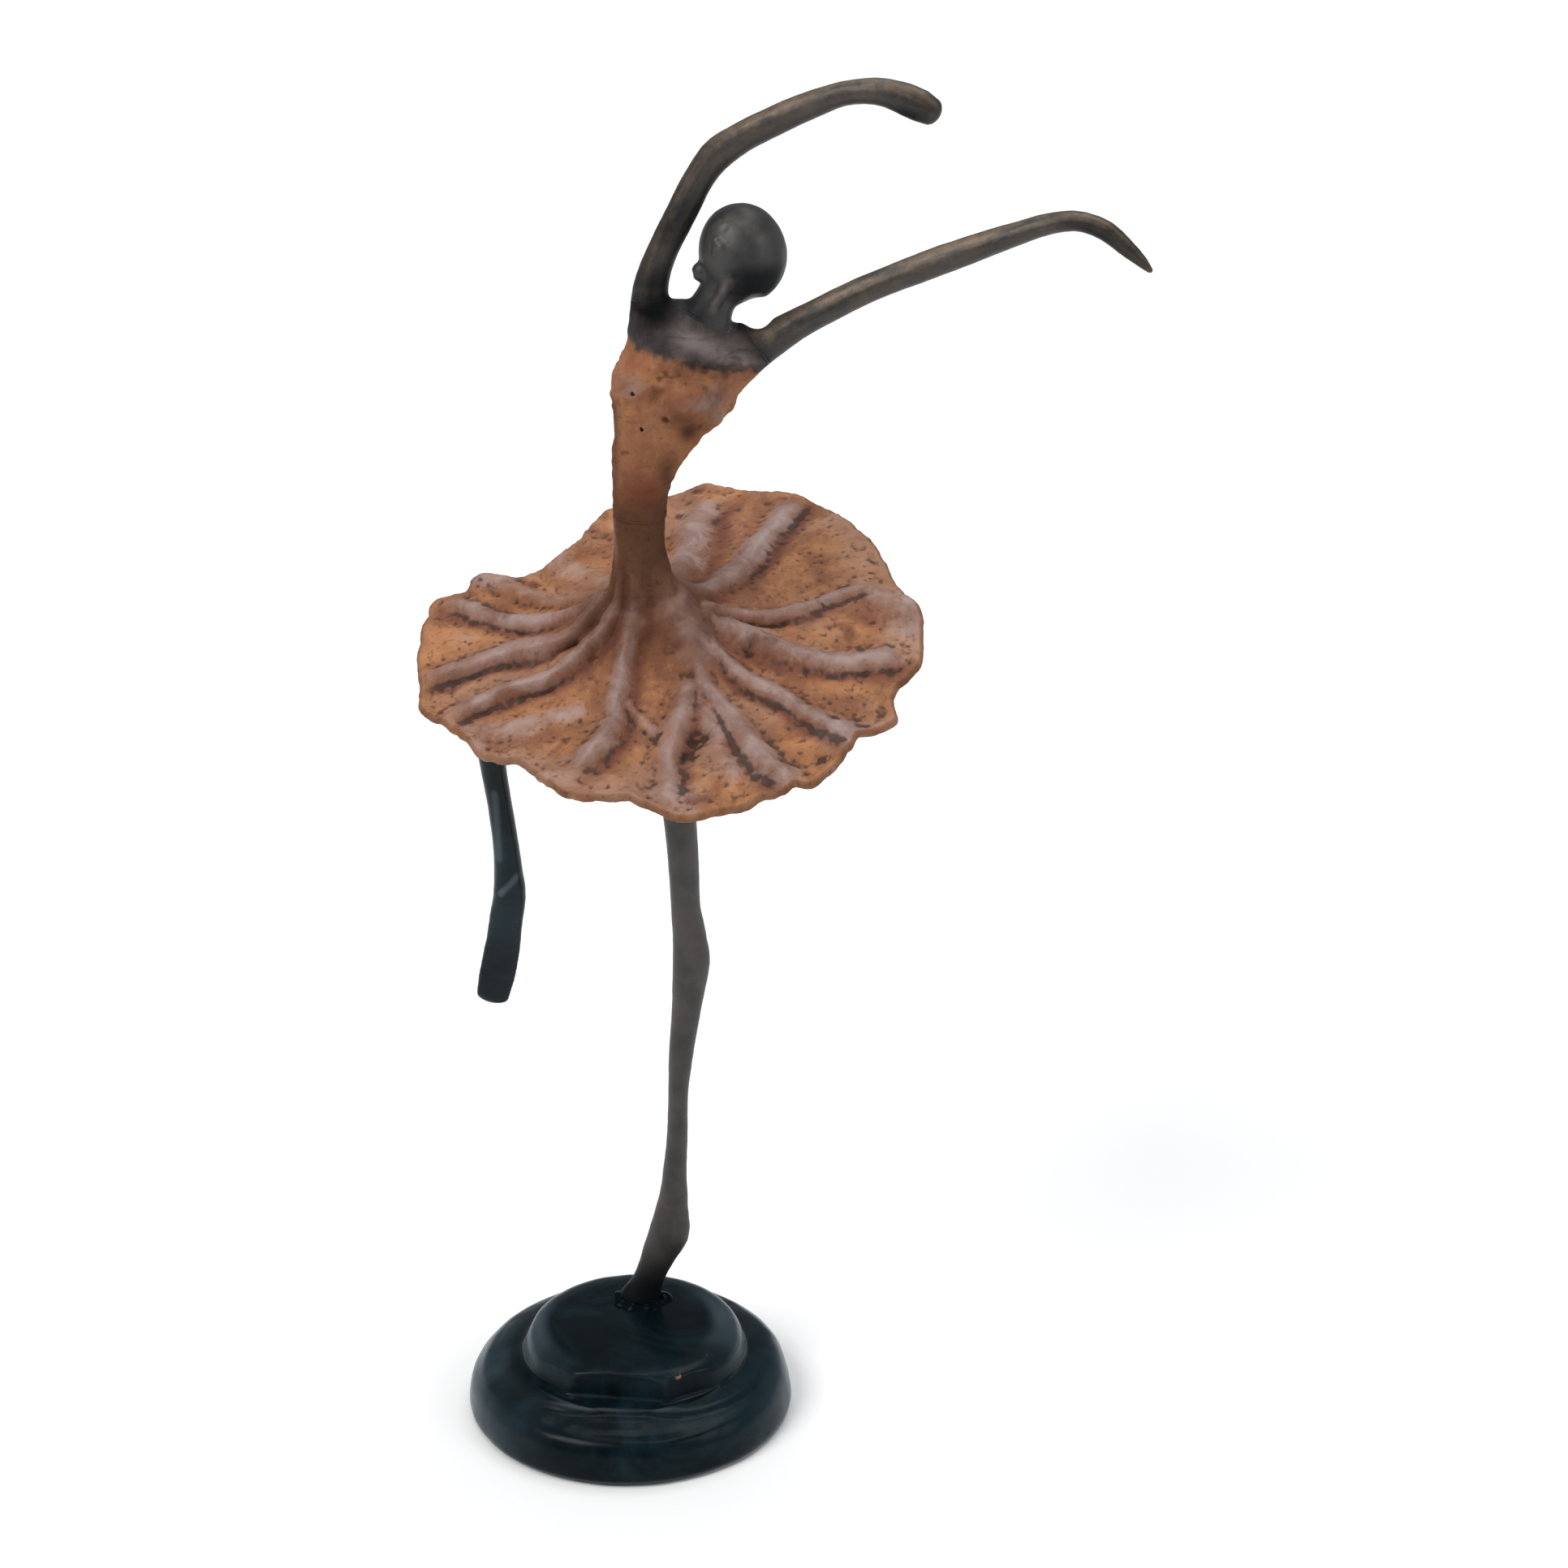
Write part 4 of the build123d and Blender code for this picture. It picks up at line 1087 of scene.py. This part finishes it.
def rib_relief(x, y):
    """Height of the pleats above the sheet, how near a pleat's crest a point is, and the cracks beside them."""
    bent_x = x + 0.9 * flat_noise(x, y, 9.0, 21) + 0.4 * flat_noise(x, y, 3.5, 22)
    bent_y = y + 0.9 * flat_noise(x, y, 9.0, 23) + 0.4 * flat_noise(x, y, 3.5, 24)
    ragged = flat_noise(x, y, 1.6, 26)
    height, crest, crack, gully = (np.zeros_like(x) for _ in range(4))
    for k, (tall, wide, undercut, path) in enumerate(SKIRT_RIBS):
        spine = curve(range(len(path)), path, np.linspace(0, len(path) - 1, 22))
        gap, along, facing = np.full_like(x, 1e6), np.zeros_like(x), np.zeros_like(x)
        for i, (p, q) in enumerate(zip(spine, spine[1:])):
            d = q - p
            t = np.clip(((bent_x - p[0]) * d[0] + (bent_y - p[1]) * d[1]) / (d @ d), 0, 1)
            gx, gy = bent_x - p[0] - t * d[0], bent_y - p[1] - t * d[1]
            reach = np.hypot(gx, gy)
            nearer = reach < gap
            gap = np.where(nearer, reach, gap)
            along = np.where(nearer, (i + t) / (len(spine) - 1), along)
            side = (gx * UNDERCUT_SIDE[0] + gy * UNDERCUT_SIDE[1]) / np.maximum(reach, 1e-6)
            facing = np.where(nearer, side, facing)
        ends = smoothstep(-0.04, 0.10, along) * smoothstep(1.03, 0.84, along)
        swell = 1 + 0.20 * flat_noise(40 * along, 0 * x + 9 * k, 5.0, 25) + 0.04 * ragged
        steep = smoothstep(-0.6, 0.6, facing) * undercut
        width = wide * swell * (0.86 + 0.22 * along) * (1.22 - 0.30 * steep)
        bar = np.exp(-(gap / width) ** (2.0 + 1.4 * steep)) * ends
        height = merge(height, tall * swell * bar, -0.9)
        crest = np.maximum(crest, np.exp(-(gap / (1.12 * width)) ** 2.4) * ends * min(1.0, 0.30 + tall / 4.0))
        crack_at = (1.22 + 0.10 * ragged) * width
        notch = np.exp(-((gap - crack_at) / (0.24 * width)) ** 2) * smoothstep(0.1, 0.6, facing)
        broken = smoothstep(-0.15, 0.55, flat_noise(60 * along, 0 * x + 7 * k, 5.0, 31) + 0.35 * ragged)
        beside = np.exp(-((gap - 1.45 * width) / (0.80 * width)) ** 2) * ends * min(1.0, tall / 3.0)
        gully = np.maximum(gully, beside * (0.35 + 0.65 * smoothstep(-0.3, 0.6, facing)))
        opened = undercut * notch * broken * smoothstep(0.05, 0.25, along)
        crack = np.maximum(crack, opened * smoothstep(0.98, 0.72, along))
    return height, crest, crack, gully


def spot(x, y, at_x, at_y, reach):
    """Bump shape round a place on the skirt."""
    return np.exp(-(((x - at_x) ** 2 + (y - at_y) ** 2) / reach ** 2) ** 1.3)


def skirt_height(radius):
    radii = [r for r, _ in SKIRT_PROFILE]
    return curve(radii, [h for _, h in SKIRT_PROFILE], radius)


def rim_wave(degrees, radius):
    """Gentle rise and fall of the sheet towards its rim."""
    a = np.radians(degrees)
    wave = 1.2 * np.sin(3 * a + 0.6) + 0.9 * np.sin(7 * a + 2.0) + 0.5 * np.sin(13 * a)
    return wave * smoothstep(30, 85, radius)


def on_skirt(x, y, z):
    """Skirt coordinates to the frame."""
    return np.array(SKIRT_FOOT) + x[..., None] * skirt_u + y[..., None] * skirt_v + z[..., None] * skirt_n


def build_skirt():
    degrees = np.arange(SKIRT_COLUMNS) * 360.0 / SKIRT_COLUMNS
    a = np.radians(degrees)
    rim = ring_curve(SKIRT_RIM, degrees)
    rim = rim + 0.9 * ring_noise(60, a, 4.5, 41) + 0.4 * ring_noise(60, a, 1.8, 42)

    # The waist's column, from the seam down, as ellipses that turn to face along it
    table = np.array(COLUMN)
    foot = np.array(SKIRT_FOOT) + skirt_n * float(skirt_height(COLUMN_JOINS_AT))
    table = np.vstack([table, [*foot, COLUMN_JOINS_AT, COLUMN_JOINS_AT]])
    knots = np.linspace(0, 1, len(table))
    down = np.linspace(0, 1, COLUMN_ROWS + 1)[:-1]
    rows = curve(knots, table, down)
    tilt = smoothstep(0, 1, down)[:, None]
    normals = unit((1 - tilt) * unit(WAIST[1]) + tilt * skirt_n)
    us = unit(skirt_u - (normals @ skirt_u)[:, None] * normals)
    vs = np.cross(normals, us)
    column = rows[:, None, :3] + (
        rows[:, None, 3:4] * np.cos(a)[None, :, None] * us[:, None]
        + rows[:, None, 4:5] * np.sin(a)[None, :, None] * vs[:, None]
    )
    buttress = smoothstep(0.15, 1.0, down)[:, None]
    ribs, crest, crack, gully = (
        found[None, :] for found in rib_relief(COLUMN_JOINS_AT * np.cos(a), COLUMN_JOINS_AT * np.sin(a))
    )
    outward = unit(column - rows[:, None, :3])
    cx, cy, cz = np.moveaxis(column, 2, 0)
    bark = 0.45 * noise(cx, cy, 0.35 * cz, 3.4, 58) + 0.25 * noise(cx, cy, cz, 1.7, 59)
    bark = bark * smoothstep(0, 0.15, buttress)
    lean_out = (1 - (1 - TRUMPET_LEAN) * buttress)[..., None]
    lift = (np.sqrt(1 - TRUMPET_LEAN ** 2) * buttress)[..., None]
    column = column + (outward * lean_out + skirt_n * lift) * (ribs * buttress)[..., None] + outward * bark[..., None]
    brink = column[0] + 0.04 * (column[1] - column[0])
    crown = rows[0, :3] + 0.86 * (column[0] - rows[0, :3]) + 0.3 * unit(WAIST[1])
    column = np.concatenate([crown[None], column[:1], brink[None], column[1:]])
    # Painted highlight down the column's left side, carried in the crest colour.
    left_highlight = 0.75 * np.exp(-(turn_from(degrees, 196) / 15.0) ** 2)[None, :]
    column_crest_and_highlight, column_crack = np.maximum(crest * buttress, left_highlight * (1 - buttress)), crack * buttress
    column_gully = gully * buttress
    column_crest_and_highlight, column_crack, column_gully = (
        np.vstack([v[:1], v[:1], v]) for v in (column_crest_and_highlight, column_crack, column_gully)
    )

    # The sheet's top, out to the rim
    w = np.linspace(0, 1, SHEET_ROWS)[:, None]
    radius = COLUMN_JOINS_AT + (rim[None, :] - RIM_THICKNESS / 2 - COLUMN_JOINS_AT) * w
    angle = degrees[None, :] + 0 * radius
    x, y = radius * np.cos(np.radians(angle)), radius * np.sin(np.radians(angle))
    height, crest, crack, gully = rib_relief(x, y)
    lumps = 0.70 * flat_noise(x, y, 10.0, 51) + 0.50 * flat_noise(x, y, 4.0, 52)
    crust = (0.42 * flat_noise(x, y, 1.7, 53) + 0.26 * flat_noise(x, y, 1.0, 54)) * (1 - 0.62 * crest)
    sag = -0.7 * np.sin(np.pi * np.clip(w, 0, 1)) * (1 - crest)
    lean = TRUMPET_LEAN * smoothstep(27, COLUMN_JOINS_AT, radius)
    settle = smoothstep(COLUMN_JOINS_AT, COLUMN_JOINS_AT + 4, radius)
    rough = (lumps + crust + sag - 1.3 * crack - 0.5 * gully) * settle
    top = skirt_height(radius) + rim_wave(angle, radius) + height * np.sqrt(1 - lean ** 2) + rough
    knob = np.zeros_like(radius)
    for at_x, at_y, reach, tall in SKIRT_KNOBS:
        knob = knob + tall * spot(x, y, at_x, at_y, reach)
    pit = np.zeros_like(radius)
    for at_x, at_y, reach, deep in SKIRT_PITS:
        pit = pit + deep * spot(x, y, at_x, at_y, reach)
    ragged = 1 + 0.5 * flat_noise(x, y, 2.4, 55) + 0.5 * flat_noise(x, y, 1.2, 60)
    top = top + knob * ragged - pit * ragged
    lip = smoothstep(0.955, 1.0, w) * (0.35 + 0.45 * flat_noise(x, y, 5.0, 56))
    top = top + lip
    mauve = smoothstep(0.62, 1.0, w) * smoothstep(-0.5, 0.6, flat_noise(x, y, 16.0, 61))
    mauve = np.maximum(mauve, 0.9 * smoothstep(0.76, 1.0, w) * np.exp(-(turn_from(angle, 247) / 38.0) ** 2))
    crest = crest + 0.60 * mauve * (1 - crest)
    soil = smoothstep(0.15, 0.75, flat_noise(x, y, 5.0, 66)) * smoothstep(-0.3, 0.5, flat_noise(x, y, 17.0, 67))
    gully = np.maximum(gully, 0.9 * soil)
    pushed = 1 + height * lean / radius
    sheet = on_skirt(x * pushed, y * pushed, top)

    # Round the rim, and back along the plain underside to the hub
    bends = np.radians(np.linspace(60, -90, 6))[:, None]
    edge_radius = rim[None, :] - RIM_THICKNESS / 2 + RIM_THICKNESS / 2 * np.cos(bends)
    edge_height = top[-1][None, :] - RIM_THICKNESS / 2 + RIM_THICKNESS / 2 * np.sin(bends)
    edge_angle = np.radians(degrees)[None, :]
    edge = on_skirt(edge_radius * np.cos(edge_angle), edge_radius * np.sin(edge_angle), edge_height)
    w = np.linspace(1, 0, UNDER_ROWS + 1)[1:, None]
    under_radius = HUB_RADIUS + (rim[None, :] - RIM_THICKNESS / 2 - HUB_RADIUS) * w
    ux, uy = under_radius * np.cos(edge_angle), under_radius * np.sin(edge_angle)
    plain = skirt_height(np.maximum(under_radius, COLUMN_JOINS_AT)) + rim_wave(degrees[None, :], under_radius)
    meet = smoothstep(0.86, 1.0, w)
    under = plain - SKIRT_THICKNESS + 0.4 * flat_noise(ux, uy, 8.0, 57)
    under = under * (1 - meet) + edge_height[-1][None, :] * meet
    under = np.where(under_radius < 20, np.minimum(under, HUB_SEAT + 0 * under), under)
    under[-1] = HUB_SEAT
    below = on_skirt(ux, uy, under)

    rings = np.concatenate([column, sheet, edge, below])
    points, quads = ringed(rings[::-1])
    def joined(on_column, on_sheet, on_edge, on_underside):
        """One value over all the rings in the order they are joined in, with the two caps' last."""
        found = np.concatenate([
            on_column, on_sheet, np.full(edge_radius.shape, on_edge), np.full(under_radius.shape, on_underside),
        ])
        return np.concatenate([found[::-1].ravel(), [found[-1].mean(), found[0].mean()]])

    fade = 1 - 0.28 * smoothstep(0.4, 1.0, np.linspace(0, 1, COLUMN_ROWS + 2))
    waist = joined(
        fade[:, None] * (1 - 0.42 * column_crest_and_highlight), 0.72 * smoothstep(34, 11, radius) * (1 - 0.42 * crest), 0.45, 0.5,
    )
    cracks = joined(column_crack, np.clip(crack + 0.22 * pit * ragged, 0, 1), 0.0, 0.0)
    rim_grey = smoothstep(0.93, 1.0, joined(0 * column_crest_and_highlight, radius / rim[None, :], 1.0, 0.0))
    values = {
        "relief": relief(points, quads, 14) * away_from_seams(points),
        "crest": np.clip(joined(column_crest_and_highlight, crest, 0.30, 0.35) + 0.10 * rim_grey, 0, 1),
        "shade": np.clip(0.70 * waist + 0.75 * cracks, 0, 0.95),
        "gully": joined(column_gully, gully, 0.0, 0.0),
        "column": joined(1 + 0 * column_crest_and_highlight, smoothstep(36, 14, radius), 0.0, 0.0),
    }
    write_mesh("tutu", points, quads, "tutu_skirt", rust_metal, values)


# ------------------------------------------------------------------ base

BASE_OUTLINE = [
    (0.0, 30.6), (12.0, 30.5), (24.0, 30.1), (29.5, 29.7), (32.6, 29.0), (34.8, 27.7), (36.4, 25.4), (37.4, 22.4),
    (38.2, 20.4), (39.4, 19.3), (41.4, 18.6), (44.0, 18.0), (47.0, 17.3), (49.6, 16.4), (51.6, 14.8), (53.2, 12.2),
    (54.2, 9.0), (54.9, 5.4), (55.0, 3.0), (54.7, 1.5),
]
BASE_COLUMNS = 420
BASE_RINGS = 150
# The hollow under the base as (radius, height), from its foot up
CAVITY = [
    (53.6, 1.25), (50.2, 1.25), (49.6, 4.0), (44.6, 12.4), (29.0, 12.8), (28.4, 22.6), (26.0, 25.2), (6.0, 25.5),
]


def build_base():
    outline = np.array(BASE_OUTLINE) * (BASE_RADIUS / 55.0, BASE_TOP / 30.5)
    gaps = np.linalg.norm(np.diff(outline, axis=0), axis=1)
    knots = np.concatenate([[0], np.cumsum(gaps)])
    path = curve(knots, outline, np.linspace(1.0, knots[-1], BASE_RINGS))
    degrees = np.arange(BASE_COLUMNS) * 360.0 / BASE_COLUMNS
    a = np.radians(degrees)[None, :]
    radius, height = path[:, 0:1] + 0 * a, path[:, 1:2] + 0 * a
    x, y = radius * np.cos(a), radius * np.sin(a)
    tier = smoothstep(18.4, 20.6, height)
    for at, distance, lean in BASE_FLATS:
        away = np.cos(np.radians(turn_from(degrees, at)))[None, :]
        limit = np.where(away > 0.5, distance / np.maximum(away, 0.5), 999.0)
        cut = merge(radius - limit - lean * (29.0 - height), 0 * radius, -0.9)
        radius = radius - cut * tier
    shelf = smoothstep(37.5, 39, radius) * smoothstep(52.5, 49.5, radius) * smoothstep(13, 15, height)
    lip_at = ring_curve(SHELF_LIP, degrees)[None, :] + 0.8 * ring_noise(30, a, 9.0, 61)
    front = smoothstep(0.15, 0.75, np.cos(np.radians(turn_from(degrees, 275))))[None, :]
    height = height + shelf * front * (1.3 * smoothstep(1.6, -1.6, radius - lip_at) - 0.5)
    height = height + shelf * 0.45 * flat_noise(x, y, 9.0, 62)
    left = np.cos(np.radians(turn_from(degrees, 160)))[None, :]
    radius = radius - 1.3 * smoothstep(0.1, 0.9, left) * smoothstep(9, 15, height) * smoothstep(42, 49, radius)
    wobble = 0.28 * noise(x, y, height, 16.0, 63) + 0.10 * noise(x, y, height, 5.0, 64)
    length = np.linalg.norm(np.gradient(path, axis=0), axis=1) + 1e-6
    side = smoothstep(0, 1, np.abs(np.gradient(path[:, 1]) / length))[:, None]
    radius = radius + wobble * side - 0.15 * side
    height = height + wobble * (1 - side) * smoothstep(0, 4, height)
    x, y = radius * np.cos(a) + UPPER_TIER_SHIFT * tier * smoothstep(0, 30, radius), radius * np.sin(a)
    outer = np.stack([x, y, np.minimum(height, BASE_TOP + 0.6)], axis=-1)
    hollow = np.array(CAVITY)
    inner = np.stack([
        hollow[:, 0:1] * np.cos(a), hollow[:, 0:1] * np.sin(a), hollow[:, 1:2] + 0 * a,
    ], axis=-1)
    points, quads = ringed(np.concatenate([outer, inner])[::-1])
    nick = np.zeros(len(points))
    for nx, ny, nz, reach in BASE_NICKS:
        gap = np.linalg.norm(points - np.array([nx, ny, nz]), axis=1)
        nick = np.maximum(nick, smoothstep(reach, 0.2 * reach, gap))
    px, py, pz = points.T
    nick = nick * smoothstep(0.0, 0.4, noise(px, py, pz, 1.1, 65))
    turn, out = np.degrees(np.arctan2(py, px)), np.hypot(px, py)
    # Painted reflections: lighter bands on the left and right of the outer wall and of the upper tier's shoulders,
    # and on the left of the shelf.
    left_side, right_side = (np.exp(-(turn_from(turn, at) / spread) ** 2) for at, spread in ((178, 38), (8, 32)))
    wall = smoothstep(46, 54, out) * (0.75 * left_side + 0.45 * right_side)
    shoulder = smoothstep(26, 31, out) * smoothstep(20, 25, pz) * (0.60 * left_side + 0.50 * right_side)
    shelf_reflection = 0.30 * left_side * smoothstep(38, 44, out) * smoothstep(12, 16, pz)
    painted_highlight = np.maximum.reduce([wall, shoulder, shelf_reflection]) * (0.75 + 0.35 * noise(px, py, pz, 7.0, 68))
    values = {"relief": relief(points, quads, 10), "nick": nick, "painted_highlight": np.clip(painted_highlight, 0, 1) * (pz > 0.5)}
    write_mesh("stepped_base", points, quads, "base_casting", black_metal, values)


def build_felt():
    low, high = (np.array(c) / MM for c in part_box("base_felt_pad"))
    radius, thick = (high[0] - low[0]) / 2, high[2] - low[2]
    degrees = np.arange(240) * 360.0 / 240
    a = np.radians(degrees)[None, :]
    profile = [(radius * k / 8, 0.0) for k in range(1, 8)] + [
        (radius - 0.4, 0.0), (radius - 0.05, 0.3), (radius, thick * 0.6), (radius - 0.15, thick),
    ] + [(radius * k / 8, thick) for k in range(7, 0, -1)]
    rows = np.array(profile)
    reach = rows[:, 0:1] + 0.12 * ring_noise(20, a, 1.5, 71) * (rows[:, 0:1] > 0.9 * radius)
    rings = np.stack([reach * np.cos(a), reach * np.sin(a), rows[:, 1:2] + 0 * a], axis=-1)
    points, quads = ringed(rings)
    write_mesh("felt_disc", points, quads, "base_felt_pad", felt)


# ------------------------------------------------------------------ stage

CAMERA_PLACE = (0.0525, -1.132, 0.735)
CAMERA_PITCH = math.radians(90 - 24.05)
CAMERA_LENS = 89.44
FLOOR_REACH = 8.0
WORLD_STRENGTH = 0.28


def build_stage():
    mesh = bpy.data.meshes.new("floor")
    corners = [(FLOOR_REACH * x, FLOOR_REACH * y, 0) for x, y in ((-1, -1), (1, -1), (1, 1), (-1, 1))]
    mesh.from_pydata(corners, [], [(0, 1, 2, 3)])
    mesh.materials.append(pale_floor())
    floor = bpy.data.objects.new("floor", mesh)
    bpy.context.scene.collection.objects.link(floor)

    camera = bpy.data.objects.new("camera", bpy.data.cameras.new("camera"))
    camera.data.sensor_width = 36.0
    camera.data.lens = CAMERA_LENS
    camera.location = CAMERA_PLACE
    camera.rotation_euler = (CAMERA_PITCH, 0, 0)
    bpy.context.scene.collection.objects.link(camera)
    bpy.context.scene.camera = camera

    for name, at, size, power, colour in (
        ("key_softbox", (-3.9, -3.4, 5.4), 4.2, 352.0, (1.0, 0.99, 0.97)),
        ("top_softbox", (0.7, 1.2, 6.4), 5.6, 284.0, (0.97, 0.99, 1.0)),
        ("fill_softbox", (4.9, -2.6, 3.1), 3.6, 80.0, (0.95, 0.98, 1.0)),
    ):
        light = bpy.data.lights.new(name, "AREA")
        light.shape, light.size, light.energy, light.color = "DISK", size, power, colour
        lamp = bpy.data.objects.new(name, light)
        lamp.location = at
        aim = np.array([0.03, 0.0, 0.22]) - np.array(at)
        lamp.rotation_euler = (math.acos(-aim[2] / np.linalg.norm(aim)), 0, math.atan2(aim[1], aim[0]) - math.pi / 2)
        bpy.context.scene.collection.objects.link(lamp)

    world = bpy.data.worlds.new("studio")
    world.use_nodes = True
    background = world.node_tree.nodes["Background"]
    background.inputs["Color"].default_value = (0.93, 0.96, 1.0, 1.0)
    background.inputs["Strength"].default_value = WORLD_STRENGTH
    bpy.context.scene.world = world
    bpy.context.scene.view_settings.view_transform = "Standard"


build_stage()
build_figure()
build_seam_rings()
build_skirt()
build_base()
build_felt()
